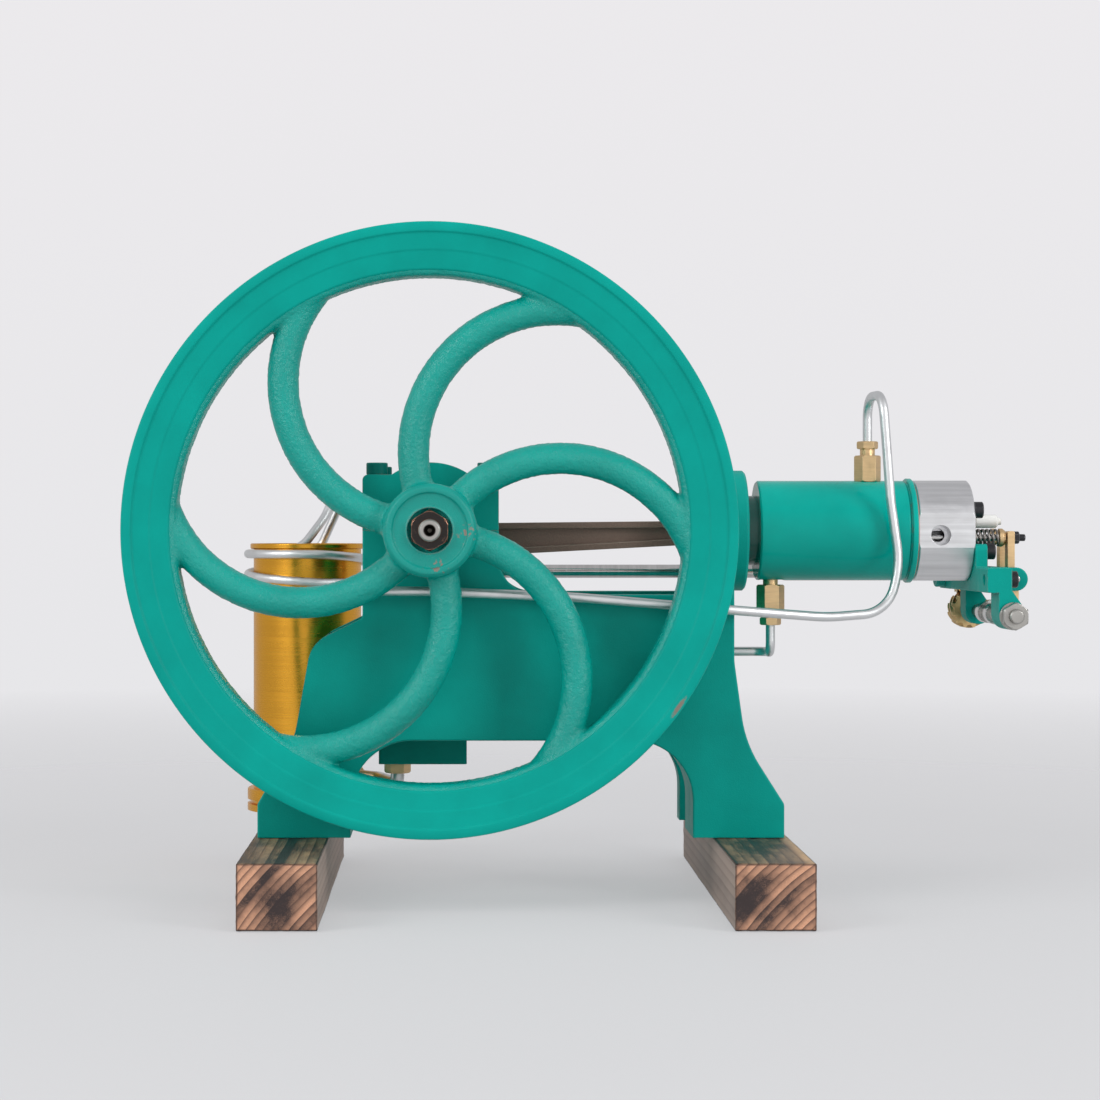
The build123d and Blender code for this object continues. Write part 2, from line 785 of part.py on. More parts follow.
def valve_bracket():
    bracket = block(head_right, beam_right, near_ear[0], far_ear[1], bar_low, bar_high)
    bracket = fillet(bracket.edges().filter_by(Axis.Y), 0.8)
    bracket += block(head_right, arm_right, far_ear[1] - 1, arm_end_y, bar_low, bar_high)
    bracket += along_x(bar(head_right - 4, arm_right, 7.0, 0.4), side_shaft_y, side_shaft_z)
    for low, high in (near_ear, far_ear):
        bracket += along_y(bar(low, high, ear_radius, 0.4), camshaft_x, camshaft_z)
        bracket += outline_y(
            [
                (camshaft_x - ear_radius, camshaft_z, 0),
                (camshaft_x - ear_radius, bar_low + 1, 0),
                (beam_right, bar_low + 1, 0),
                (camshaft_x + ear_radius - 0.6, camshaft_z + 2.5, 0),
                (camshaft_x + 3, camshaft_z, 0),
            ],
            low,
            high,
        )
        bracket -= along_y(bar(low - 1, high + 1, side_shaft_radius + running, 0), camshaft_x, camshaft_z)
    for side in (-1, 1):
        low, high = sorted((side * 12.0, side * 20.5))
        lug = block(head_right, head_right + lug_thickness, low, high, bar_high - 1, axis_z - 5.7)
        top = [e for e in lug.edges().filter_by(Axis.X) if e.center().Z > bar_high]
        bracket += fillet(top, 3.0)
        hole = bar(head_right - 1, head_right + lug_thickness + 1, small_screw_radius + 0.2, 0)
        bracket -= along_x(hole, side * head_screw_places[3][0], axis_z + head_screw_places[0][1])
        thread = bar(head_right + 1, beam_right + 1, small_screw_radius + seat, 0)
        bracket -= along_x(thread, side * pivot_screw_y, pivot_z)
    shaft_bore = bar(head_right - 5, arm_right + 1, side_shaft_radius + running, 0)
    bracket -= along_x(shaft_bore, side_shaft_y, side_shaft_z)
    spare_hole = bar(head_right - 1, beam_right + 1, spare_hole_radius, 0)
    return bracket - along_x(spare_hole, near_ear[0] + 7, pivot_z)


def pivot_block():
    plate_end = pivot_screw_y + 3.6
    plate = block(beam_right, plate_right, -plate_end, plate_end, bar_low, bar_high)
    plate = fillet(plate.edges().filter_by(Axis.X), 1.5)
    middle = valve_spacing - rocker_width / 2 - lug_gap
    outer = valve_spacing + rocker_width / 2 + lug_gap
    for low, high in ((-outer - 3, -outer), (-middle, middle), (outer, outer + 3)):
        plate += along_y(bar(low, high, 5.0, 0.3), pivot_x, pivot_z)
        plate += block(plate_right - 1, pivot_x, low, high, pivot_z - 5, pivot_z + 5)
    reach = outer + 4
    plate -= along_y(bar(-reach, reach, pivot_pin_radius + seat, 0), pivot_x, pivot_z)
    for side in (-1, 1):
        hole = bar(beam_right - 1, plate_right + 1, small_screw_radius + 0.2, 0)
        plate -= along_x(hole, side * pivot_screw_y, pivot_z)
    return plate


def bracket_screws():
    screw = cap_screw(small_screw_radius, small_screw_length, small_head_radius, small_head_height)
    screws = [Pos(plate_right, side * pivot_screw_y, pivot_z) * screw for side in (-1, 1)]
    for z in side_bearing_screw_z:
        flange_face = frame_half_width + 4
        screws.append(Pos(side_bearing_screw_x, flange_face, z) * Rot(0, 0, 90) * screw)
    return Compound(screws)


def side_shaft_bearing():
    low, high = side_shaft_z - 7.2, side_shaft_z + 14.8
    bearing = block(8.5, 27.5, frame_half_width, frame_half_width + 4, low, high)
    bearing += block(
        18.5, 27.5, frame_half_width, side_shaft_y + 1, side_shaft_z - 6.5, side_shaft_z + 6.5
    )
    bearing += along_x(bar(18.5, 27.5, 6.5, 0.4), side_shaft_y, side_shaft_z)
    bearing -= along_x(bar(17, 29, side_shaft_radius + running, 0), side_shaft_y, side_shaft_z)
    for z in side_bearing_screw_z:
        hole = bar(frame_half_width - 1, frame_half_width + 5, small_screw_radius + 0.2, 0)
        bearing -= along_y(hole, side_bearing_screw_x, z)
    return bearing


spare_hole_radius = 2.5

parts["valve_bracket"] = valve_bracket()
parts["pivot_block"] = pivot_block()
parts["bracket_screws"] = bracket_screws()
parts["side_shaft_bearing"] = side_shaft_bearing()
parts["rocker_pin"] = along_y(bar(-16.0, 16.0, pivot_pin_radius, 0.2), pivot_x, pivot_z)


# ---------------------------------------------------------------- valves, springs and rockers
stem_end = head_right + 15.1
retainer_left = head_right + 12.2
retainer_right = retainer_left + 2.6
rocker_left = head_right + 15.5
rocker_thickness = 3.0
rocker_top = valve_z + 2.8
follower_left = camshaft_x + cam_tip_radius + 0.6
wire_radius = 0.45
spring_radius = 3.35
adjuster_radius = 1.5


def valve_guide(side):
    guide = bar(head_left + chamber_depth + throat_depth, head_right + 2, guide_radius, 0.2)
    guide -= bar(head_left, head_right + 3, valve_stem_radius + running, 0)
    return along_x(guide, side * valve_spacing, valve_z)


def valve(side):
    face = head_left + chamber_depth - 0.02
    valve_shape = turned(
        [
            (face - 1.4, 0),
            (face - 1.4, valve_head_radius),
            (face - 0.6, valve_head_radius),
            (face, valve_head_radius - 0.4),
            (face, valve_head_radius - 1.4),
            (face + 2.0, valve_stem_radius),
            (stem_end, valve_stem_radius),
            (stem_end, 0),
        ]
    )
    return along_x(valve_shape, side * valve_spacing, valve_z)


def valve_spring(side):
    helix = Helix(spring_length / spring_coils, spring_length, spring_radius)
    section = Plane(origin=helix @ 0, z_dir=helix % 0) * Circle(wire_radius)
    coil = Rot(0, 90, 0) * sweep(section, path=helix, is_frenet=True)
    return Pos(head_right + wire_radius + 0.05, side * valve_spacing, valve_z) * coil


def retainer(side):
    cup = turned(
        [
            (retainer_left, valve_stem_radius + seat),
            (retainer_left, 3.9),
            (retainer_left + 1.4, 3.9),
            (retainer_right, 3.0),
            (retainer_right, valve_stem_radius + seat),
        ]
    )
    return along_x(cup, side * valve_spacing, valve_z)


def rocker(side):
    low, high = side * valve_spacing - rocker_width / 2, side * valve_spacing + rocker_width / 2
    arm = outline_y(
        [
            (rocker_left, pivot_z, 0),
            (rocker_left, rocker_top, 0.8),
            (rocker_left + rocker_thickness, rocker_top, 0.8),
            (rocker_left + rocker_thickness, pivot_z, 0),
        ],
        low,
        high,
    )
    arm += outline_y(
        [
            (follower_left, pivot_z, 0),
            (follower_left, camshaft_z - 2, 0.8),
            (follower_left + rocker_thickness, camshaft_z - 2, 0.8),
            (follower_left + rocker_thickness, pivot_z, 0),
        ],
        low,
        high,
    )
    arm += along_y(bar(low, high, 3.9, 0.2), pivot_x, pivot_z)
    arm -= along_y(bar(low - 1, high + 1, pivot_pin_radius + running, 0), pivot_x, pivot_z)
    thread = bar(rocker_left - 1, rocker_left + rocker_thickness + 1, adjuster_radius + seat, 0)
    return arm - along_x(thread, side * valve_spacing, valve_z)


def adjuster(side):
    tip = stem_end + tappet_gap
    end = rocker_left + 8.0
    screw = turned(
        [
            (tip, 0),
            (tip + 0.1, 0.7),
            (tip + 0.5, adjuster_radius),
            (end - 0.3, adjuster_radius),
            (end, adjuster_radius - 0.3),
            (end, 0),
        ]
    )
    slot = block(end - 0.8, end + 1, -0.25, 0.25, -2, 2)
    return along_x(screw - slot, side * valve_spacing, valve_z)


def lock_nut(side):
    start = rocker_left + rocker_thickness
    nut = hexagon(start, start + 2.3, 4.6, adjuster_radius + seat)
    return along_x(nut, side * valve_spacing, valve_z)


parts["valve_guides"] = two_sides(valve_guide)
for name, side in (("inlet", 1), ("exhaust", -1)):
    parts[name + "_valve"] = valve(side)
    parts[name + "_spring"] = valve_spring(side)
    parts[name + "_retainer"] = retainer(side)
    parts[name + "_rocker"] = rocker(side)
    parts[name + "_adjuster"] = adjuster(side)
    parts[name + "_lock_nut"] = lock_nut(side)


# ---------------------------------------------------------------- side shaft, camshaft and gears
drive_gear_radius = 7.8
driven_gear_radius = gear_distance - drive_gear_radius
driven_helix = degrees(atan(0.5 * driven_gear_radius / drive_gear_radius))
cam_gear_radius = 7.7
cam_drive_radius = camshaft_drop - cam_gear_radius
cam_drive_helix = degrees(atan(cam_drive_radius / cam_gear_radius))
cam_gear_width = 10.0
side_shaft_left = -18.0
side_shaft_right = camshaft_x + cam_gear_width / 2 + 4
camshaft_near = near_ear[0] - 9.0
camshaft_far = side_shaft_y + cam_gear_width / 2 + 1.5
washer_thickness = 1.2
inlet_lobe = 60.0
exhaust_lobe = -50.0


def cam(side, lobe_angle):
    nose = 2.6
    shape = Circle(cam_base_radius) + Pos(cam_tip_radius - nose, 0) * Circle(nose)
    plate = extrude(make_hull(shape.edges()), cam_width) - Cylinder(side_shaft_radius + seat, 40)
    place = Plane(
        origin=(camshaft_x, side * valve_spacing + cam_width / 2, camshaft_z),
        x_dir=(1, 0, 0),
        z_dir=(0, -1, 0),
    )
    return place.location * Rot(0, 0, lobe_angle) * plate


shaft_bore = side_shaft_radius + seat
parts["side_shaft"] = along_x(
    bar(side_shaft_left, side_shaft_right, side_shaft_radius, 0.5), side_shaft_y, side_shaft_z
)
drive_gear = skew_gear(8, drive_gear_radius, 90 - driven_helix, gear_width, drive_end_radius + seat, 1, 0)
parts["crank_gear"] = Pos(0, drive_gear_y, axis_z) * Rot(-90, 0, 0) * drive_gear
driven_gear = skew_gear(16, driven_gear_radius, driven_helix, gear_width, shaft_bore, 1, 11.25)
parts["side_shaft_gear"] = Pos(0, side_shaft_y, side_shaft_z) * Rot(0, 90, 0) * driven_gear
cam_drive_gear = skew_gear(12, cam_drive_radius, cam_drive_helix, cam_gear_width, shaft_bore, 1, 0)
parts["cam_drive_gear"] = Pos(camshaft_x, side_shaft_y, side_shaft_z) * Rot(0, 90, 0) * cam_drive_gear
cam_gear = skew_gear(12, cam_gear_radius, 90 - cam_drive_helix, cam_gear_width, shaft_bore, 1, 15)
parts["camshaft_gear"] = Pos(camshaft_x, side_shaft_y, camshaft_z) * Rot(-90, 0, 0) * cam_gear
parts["camshaft"] = along_y(
    bar(camshaft_near, camshaft_far, side_shaft_radius, 0.5), camshaft_x, camshaft_z
)
parts["cams"] = Compound([cam(1, inlet_lobe).solid(), cam(-1, exhaust_lobe).solid()])


def camshaft_nut():
    """The hexagon nut and its washer on the camshaft's near end."""
    washer_face = near_ear[0] - passing
    nut_face = washer_face - washer_thickness
    washer = bar(nut_face, washer_face, 5.8, 0.15, shaft_bore)
    nut = hexagon(nut_face - 5.0, nut_face, 10.0, shaft_bore)
    return Compound([along_y(piece, camshaft_x, camshaft_z) for piece in (washer, nut)])


parts["camshaft_nut"] = camshaft_nut()


# ---------------------------------------------------------------- water tank, pipes and fittings
fitting_length = 14.1
bottom_neck = 2.2  # bare neck between the jacket and the lower fitting's hexagon
gland_length = 3.3
neck_radius = 3.2
union_angle = -45.0
union_length = 8.0
manifold_drop = 13.4


def jacket_fitting(flats, body_length, neck):
    """A fitting along X from its seat on the jacket at 0, with its threaded spigot behind it."""
    body_end = neck + body_length
    fitting = bar(-2.4, 0.2, fitting_thread_radius - seat, 0.2)
    fitting += bar(0, neck + 0.5, neck_radius, 0)
    fitting += hexagon(neck, body_end, flats)
    fitting += bar(body_end - 0.5, neck + fitting_length, neck_radius, 0)
    fitting -= bar(neck + 7.5, neck + fitting_length + 1, pipe_radius + seat, 0)
    return fitting - bar(-3, neck + 8, 1.4, 0)


def jacket_fittings():
    top = Pos(top_fitting_x, 0, axis_z + fitting_seat) * Rot(0, -90, 0)
    bottom = Pos(bottom_fitting_x, 0, axis_z - fitting_seat) * Rot(0, 90, 0)
    return Compound([top * jacket_fitting(10.0, 11.3, 0), bottom * jacket_fitting(10.5, 11.6, bottom_neck)])


def gland_nuts():
    top = Pos(top_fitting_x, 0, axis_z + fitting_seat + fitting_length) * Rot(0, -90, 0)
    bottom_end = axis_z - fitting_seat - bottom_neck - fitting_length
    bottom = Pos(bottom_fitting_x, 0, bottom_end) * Rot(0, 90, 0)
    nut = hexagon(0, gland_length, 8.0, pipe_radius + seat)
    return Compound([top * nut, bottom * nut])


def water_tank():
    base_top = beam_height + 10.1
    inner = tank_radius - tank_wall
    tank = turned(
        [
            (beam_height, 0),
            (beam_height, tank_radius + 2.75),
            (beam_height + 3.0, tank_radius + 2.75),
            (beam_height + 3.4, tank_radius + 0.75),
            (beam_height + 4.6, tank_radius + 0.75),
            (beam_height + 5.0, tank_radius + 2.75),
            (base_top - 0.5, tank_radius + 2.75),
            (base_top, tank_radius + 2.2),
            (base_top, tank_radius),
            (tank_top - 2.5, tank_radius),
            (tank_top - 2.5, tank_radius + 1.1),
            (tank_top - 2.1, tank_radius + 1.5),
            (tank_top - 0.4, tank_radius + 1.5),
            (tank_top, tank_radius + 1.1),
            (tank_top, inner + 0.4),
            (tank_top - 0.4, inner),
            (base_top + 3.4, inner),
            (base_top + 3.4, 0),
        ]
    )
    tank = along_z(tank, tank_x, tank_y)
    thread = bar(beam_height - 1, beam_height + foot_thread + 1, screw_radius + seat, 0)
    tank -= along_z(thread, left_beam_x, tank_y)
    outlet = bar(inner - 2, tank_radius + 2, 3.9 + seat, 0)
    return tank - Pos(tank_x, tank_y, tank_outlet_z) * Rot(0, 0, union_angle) * outlet


def outlet_fittings():
    """The union on the tank and the fitting under the manifold block."""
    face = tank_radius + 0.45
    union = bar(tank_radius - tank_wall + 0.3, face + 0.2, 3.9, 0.2)
    union += hexagon(face, face + union_length, 10.0)
    union -= bar(face + 1, face + union_length + 1, outlet_pipe_radius + seat, 0)
    union -= bar(tank_radius - tank_wall - 1, face + 2, 2.0, 0)
    union = Pos(tank_x, tank_y, tank_outlet_z) * Rot(0, 0, union_angle) * union
    low = web_bottom - manifold_drop
    stub = bar(-2, 0.2, 3.9, 0.2) + hexagon(0, low - tank_outlet_z - 5.2, 10.0)
    stub -= bar(1, low, outlet_pipe_radius + seat, 0)
    stub -= bar(-3, 2, 2.0, 0)
    stub = Pos(outlet_x, manifold_y, low) * Rot(0, 90, 0) * stub
    return Compound([union.solid(), stub.solid()])


def manifold_block():
    low = web_bottom - manifold_drop
    body = block(-22.9, 15.2, manifold_y - 12, manifold_y + 12, low, web_bottom)
    body = fillet(body.edges().filter_by(Axis.Z), 1.5)
    body -= along_z(bar(web_bottom - 5, web_bottom + 1, pipe_radius + seat, 0), return_end_x, manifold_y)
    body -= along_z(bar(low - 1, low + 3, 3.9 + seat, 0), outlet_x, manifold_y)
    gallery_z = low + 6.5
    body -= along_z(bar(low + 2, gallery_z + 1, 1.5, 0), outlet_x, manifold_y)
    body -= along_x(bar(outlet_x, return_end_x, 1.5, 0), manifold_y, gallery_z)
    return body - along_z(bar(gallery_z, web_bottom - 4, 1.5, 0), return_end_x, manifold_y)


def outlet_pipe():
    reach = tank_radius + 2.0
    side = cos(radians(union_angle))
    low = web_bottom - manifold_drop
    points = [
        (outlet_x, manifold_y, low - 2),
        (outlet_x, manifold_y, tank_outlet_z),
        (tank_x + 48 * side, tank_y - 48 * side, tank_outlet_z),
        (tank_x + reach * side, tank_y - reach * side, tank_outlet_z),
    ]
    return pipe(points, outlet_pipe_radius, [4.9, 10.0])


def return_pipe():
    points = [
        (bottom_fitting_x, 0, axis_z - fitting_seat - bottom_neck - 9),
        (bottom_fitting_x, 0, return_pipe_z),
        (bottom_fitting_x, manifold_y, return_pipe_z),
        (60, manifold_y, return_pipe_z),
        (return_end_x, manifold_y, return_pipe_z - 6),
        (return_end_x, manifold_y, web_bottom - 4.5),
    ]
    return pipe(points, pipe_radius, [5, 6, 60, 12])


def hot_pipe():
    """From the jacket's top over to the near side, along the frame, round the tank and into it."""
    near_y = -frame_half_width - 5
    flank_y = -jacket_radius - 4.5
    points = [
        (top_fitting_x, 0, axis_z + fitting_seat + 9),
        (top_fitting_x, 0, axis_z + 57.5),
        (top_fitting_x + 2.6, flank_y + 1.5, axis_z + 57.5),
        (top_fitting_x + 5.8, flank_y, axis_z + 12),
        (top_fitting_x + 9.5, flank_y, axis_z - 14),
        (top_fitting_x + 4.5, flank_y - 1, axis_z - 34.5),
        (top_fitting_x - 22.0, flank_y - 6, axis_z - 36.4),
        (top_fitting_x - 64.5, near_y, axis_z - 32.9),
        (60, near_y, axis_z - 27.7),
        (0, near_y, axis_z - 25.2),
        (-38.5, near_y, axis_z - 25.0),
        (-33.5, tank_y - 30, coil_low),
    ]
    bends = [9, 9, 60, 40, 15, 60, 60, 300, 300, 10, 10]
    turn = 360 / coil_corners
    vertex_radius = (tank_radius + coil_gap + pipe_radius) / cos(radians(turn / 2))
    arc = 0.9 * vertex_radius * cos(radians(turn / 2))
    for corner in range(coil_steps):
        angle = radians(270 + turn / 2 - corner * turn)
        rise = min(corner / coil_corners, 1.0) * (coil_high - coil_low)
        points.append(
            (
                tank_x + vertex_radius * cos(angle),
                tank_y + vertex_radius * sin(angle),
                coil_low + rise,
            )
        )
        bends.append(arc)
    points += [
        (tank_x + 4, tank_y + 29.8, coil_high + 2),
        (tank_x + 17, tank_y + 24.0, coil_high + 30),
        (tank_x + 13, tank_y + 10.0, coil_high + 30),
        (tank_x + 8, tank_y + 2.0, coil_high + 17),
        (tank_x - 1, tank_y - 6.0, coil_high + 4.5),
        (tank_x - 11, tank_y - 9.0, coil_high - 1),
        (tank_x - 13, tank_y - 9.0, coil_high - 28),
    ]
    bends += [7, 6, 6, 30, 14, 5]
    return pipe(points, pipe_radius, bends)


outlet_x = -15.0
coil_corners = 12
coil_steps = 19
coil_low = tank_top - 17.7
coil_high = tank_top - 4.8

parts["water_tank"] = water_tank()
parts["outlet_fittings"] = outlet_fittings()
parts["manifold_block"] = manifold_block()
parts["jacket_fittings"] = jacket_fittings()
parts["gland_nuts"] = gland_nuts()
parts["outlet_pipe"] = outlet_pipe()
parts["return_pipe"] = return_pipe()
parts["hot_pipe"] = hot_pipe()


# ---------------------------------------------------------------- write the parts
left_end = -flywheel_diameter / 2
right_end = rocker_left + 8.0
middle_x = (left_end + right_end) / 2
middle_y = beam_near_end + beam_length / 2
os.makedirs("parts", exist_ok=True)
for name, shape in parts.items():
    export_step(Pos(-middle_x, -middle_y, 0) * shape, "parts/" + name + ".step")
print(len(parts), "parts; crank axis at", round(-middle_x, 3), round(-middle_y, 3), round(axis_z, 3))
print("wrist pin", round(wrist_x - middle_x, 3), "travel", round(wrist_nearest - wrist_x, 3))
print("to", round(wrist_furthest - wrist_x, 3), "rod slope", round(rod_rise, 3))
print("side shaft", round(side_shaft_y - middle_y, 3), round(side_shaft_z, 3))
print("camshaft", round(camshaft_x - middle_x, 3), round(camshaft_z, 3))
print("rocker pivot", round(pivot_x - middle_x, 3), round(pivot_z, 3), "valves", round(valve_z, 3))
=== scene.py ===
# %% [markdown]
# # A model engine and its flywheel
# This notebook dresses a packed engine: iron castings in teal paint, two charred pine beams, brass,
# aluminium and steel. The imported parts keep their shape and get new finishes. Three things are built
# here, because the plain parts lack their character: the curved-spoke wheel, and the two beams.
# The first cell loads the parts.

# %% Load the engine
import math

import bpy
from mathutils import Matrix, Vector


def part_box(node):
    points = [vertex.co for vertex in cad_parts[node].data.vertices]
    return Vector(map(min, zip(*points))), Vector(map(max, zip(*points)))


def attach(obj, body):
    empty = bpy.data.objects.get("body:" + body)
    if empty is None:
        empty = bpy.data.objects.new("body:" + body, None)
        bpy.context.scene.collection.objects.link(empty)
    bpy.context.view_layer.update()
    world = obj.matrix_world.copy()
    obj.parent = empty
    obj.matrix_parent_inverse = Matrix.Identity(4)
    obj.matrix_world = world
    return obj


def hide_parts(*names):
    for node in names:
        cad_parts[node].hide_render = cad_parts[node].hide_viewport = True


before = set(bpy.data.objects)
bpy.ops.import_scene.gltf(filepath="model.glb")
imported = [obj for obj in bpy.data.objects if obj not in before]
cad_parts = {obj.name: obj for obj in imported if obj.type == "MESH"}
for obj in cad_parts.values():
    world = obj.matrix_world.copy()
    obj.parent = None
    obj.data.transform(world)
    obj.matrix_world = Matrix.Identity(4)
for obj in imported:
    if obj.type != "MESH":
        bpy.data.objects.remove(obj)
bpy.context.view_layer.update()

bpy.ops.object.select_all(action="DESELECT")

# %% [markdown]
# ## Small tools for shader nodes
# Materials are built from nodes in code, so four helpers come first. `fill` puts a number, a colour or
# a link into a socket, and `add` makes a node and fills its sockets by name. `calc` is one sum, and
# `fit` stretches a range of values to another one. Named helpers keep each material short enough to
# read like a recipe.

# %% Node helpers
def fill(tree, socket, value):
    """Puts a value into a socket, or links another node's output to it."""
    if isinstance(value, bpy.types.NodeSocket):
        tree.links.new(value, socket)
    elif socket.type == "RGBA" and len(value) == 3:
        socket.default_value = (*value, 1.0)
    else:
        socket.default_value = value


def add(tree, kind, **settings):
    """Adds a shader node. A setting named like a socket fills it, and any other is the node's own."""
    made = tree.nodes.new("ShaderNode" + kind)
    for name, value in settings.items():
        socket = made.inputs.get(name.replace("_", " "))
        if socket is None:
            setattr(made, name, value)
        else:
            fill(tree, socket, value)
    return made


def calc(tree, operation, *values):
    """One sum on values or links."""
    made = add(tree, "Math", operation=operation)
    for socket, value in zip(made.inputs, values):
        fill(tree, socket, value)
    return made.outputs[0]


def fit(tree, value, low, high, to_low=0.0, to_high=1.0):
    """Stretches low..high to to_low..to_high, and stops at the ends."""
    ends = {"From_Min": low, "From_Max": high, "To_Min": to_low, "To_Max": to_high}
    return add(tree, "MapRange", Value=value, **ends).outputs[0]


print("node helpers: fill, add, calc, fit")

# %% [markdown]
# **Colours and places.** A pattern has to know where it is on the piece, and most colours are a mix of
# two others. `tint` mixes two colours, `own_place` says where a point lies, `stretched` squeezes a
# pattern along an axis, and `noise` is the cloud that breaks up almost every finish here.

# %% Colour and place helpers
def tint(tree, amount, first, second, way="MIX"):
    """A colour between two, by amount."""
    made = add(tree, "Mix", data_type="RGBA", blend_type=way)
    for index, value in ((0, amount), (6, first), (7, second)):
        fill(tree, made.inputs[index], value)
    return made.outputs[2]


def own_place(tree):
    """Where a point is on the piece itself, in metres."""
    return add(tree, "TexCoord").outputs["Object"]


def stretched(tree, place, amounts):
    """The place with each axis scaled by its own amount."""
    made = add(tree, "VectorMath", operation="MULTIPLY")
    fill(tree, made.inputs[0], place)
    fill(tree, made.inputs[1], amounts)
    return made.outputs[0]


def noise(tree, place, scale, detail=3.0, roughness=0.5):
    """A cloudy value between 0 and 1."""
    return add(tree, "TexNoise", Vector=place, Scale=scale, Detail=detail, Roughness=roughness).outputs[0]


print("colour and place helpers: tint, own_place, stretched, noise")

# %% [markdown]
# ## Effects that several materials share
# Worn edges, cast grain, tool marks and hand smears turn up on many parts. Each is a node group with
# named inputs, built once, so that a change to it reaches every part. A group gives out masks, heights
# and normals only, and the shader itself stays in each material.

# %% Start a shared effect
def start_effect(title, inputs, outputs):
    """A new group with its sockets. Gives back its tree, its inner inputs and its inner outputs."""
    tree = bpy.data.node_groups.new(title, "ShaderNodeTree")
    for name, kind, value in inputs:
        made = tree.interface.new_socket(name=name, in_out="INPUT", socket_type="NodeSocket" + kind)
        made.default_value = value
    for name, kind in outputs:
        tree.interface.new_socket(name=name, in_out="OUTPUT", socket_type="NodeSocket" + kind)
    return tree, tree.nodes.new("NodeGroupInput").outputs, tree.nodes.new("NodeGroupOutput").inputs


def use_effect(tree, effect, **values):
    """Places a shared effect in a material and gives back its outputs."""
    made = add(tree, "Group", node_tree=effect)
    for name, value in values.items():
        fill(tree, made.inputs[name.replace("_", " ")], value)
    return made.outputs


print("shared effects can be built and placed")

# %% [markdown]
# **Edges.** A real edge is never razor sharp: it catches a thin line of light, and paint rubs off it
# first. The Bevel node looks round a point and gives the normal that a small rounding would have. Where
# that differs from the true normal there is an edge, and a cloudy mask breaks the wear into patches.

# %% Edge effect
def build_edges():
    tree, given, out = start_effect(
        "soft and worn edges",
        [("Radius", "Float", 0.0005), ("Patches", "Float", 150.0), ("Amount", "Float", 0.5)],
        [("Normal", "Vector"), ("Wear", "Float"), ("Edge", "Float")],
    )
    soft = add(tree, "Bevel", samples=4, Radius=given["Radius"]).outputs[0]
    facing = add(tree, "VectorMath", operation="DOT_PRODUCT")
    fill(tree, facing.inputs[0], soft)
    fill(tree, facing.inputs[1], add(tree, "NewGeometry").outputs["Normal"])
    edge = fit(tree, facing.outputs["Value"], 0.985, 0.86)
    cloud = noise(tree, own_place(tree), given["Patches"], 5.0, 0.65)
    held_back = calc(tree, "SUBTRACT", 1.5, given["Amount"])
    ragged = calc(tree, "ADD", edge, calc(tree, "SUBTRACT", cloud, held_back))
    fill(tree, out["Normal"], soft)
    fill(tree, out["Wear"], fit(tree, ragged, 0.0, 0.18))
    fill(tree, out["Edge"], edge)
    return tree


edges = build_edges()
print("edge effect:", [socket.name for socket in edges.interface.items_tree])

# %% [markdown]
# **Cast grain.** Sand leaves fine pits and pebbles on iron, and paint softens them without hiding them.
# Two sizes of noise and a Voronoi pattern, each in real metres, give the height, and a slow cloud gives
# the uneven thickness of the paint.

# %% Casting effect
def build_casting():
    tree, given, out = start_effect(
        "cast grain", [("Grain", "Float", 900.0)], [("Height", "Float"), ("Cloud", "Float")]
    )
    place = own_place(tree)
    grain = given["Grain"]
    pebble = add(tree, "TexVoronoi", feature="SMOOTH_F1", Vector=place, Scale=grain, Smoothness=0.6)
    fine = noise(tree, place, calc(tree, "MULTIPLY", grain, 1.9), 3.0, 0.6)
    height = calc(tree, "ADD", calc(tree, "MULTIPLY", pebble.outputs[0], 0.6), fine)
    fill(tree, out["Height"], height)
    fill(tree, out["Cloud"], noise(tree, place, 34.0, 4.0, 0.55))
    return tree


casting = build_casting()
print("casting effect:", [socket.name for socket in casting.interface.items_tree])

# %% [markdown]
# **Tool marks and smears.** A lathe leaves rings, a mill leaves straight lines, and drawing a tube
# leaves scratches along it. All three are noise that is squeezed hard across the marks, so one effect
# reads a place that each material squeezes in its own way. Smears are a slow cloud that dulls the
# shine where hands have been.

# %% Tool mark and smear effects
def build_marks():
    tree, given, out = start_effect(
        "tool marks", [("Place", "Vector", (0.0, 0.0, 0.0))], [("Height", "Float"), ("Streak", "Float")]
    )
    fill(tree, out["Height"], noise(tree, given["Place"], 1.0, 2.0, 0.7))
    fill(tree, out["Streak"], noise(tree, given["Place"], 0.21, 4.0, 0.6))
    return tree


def build_smears():
    tree, given, out = start_effect("hand smears", [("Size", "Float", 60.0)], [("Smear", "Float")])
    place = own_place(tree)
    warped = add(tree, "TexNoise", Vector=place, Scale=given["Size"], Detail=3.0, Distortion=1.6)
    fill(tree, out["Smear"], fit(tree, warped.outputs[0], 0.42, 0.66))
    return tree


marks = build_marks()
smears = build_smears()
print("mark and smear effects are ready")

# %% [markdown]
# ## Starting a finish
# Every finish is one Principled shader. `start_finish` makes the material, `finish_with` fills the
# shader's sockets, and `bumped` turns a height into a normal. Numbers that are the same all over go
# straight into the shader's own sockets.

# %% Start a finish
def start_finish(title):
    """A new material with an empty Principled shader. Gives back the material, its tree and the shader."""
    material = bpy.data.materials.new(title)
    material.use_nodes = True
    tree = material.node_tree
    tree.nodes.clear()
    shader = add(tree, "BsdfPrincipled")
    add(tree, "OutputMaterial", Surface=shader.outputs[0])
    return material, tree, shader


def finish_with(tree, shader, **values):
    """Fills the shader's sockets by name."""
    for name, value in values.items():
        fill(tree, shader.inputs[name.replace("_", " ")], value)


def bumped(tree, height, depth, normal):
    """A normal that follows a height of so many metres."""
    return add(tree, "Bump", Distance=depth, Height=height, Normal=normal).outputs[0]


print("a finish starts with start_finish and ends with finish_with")
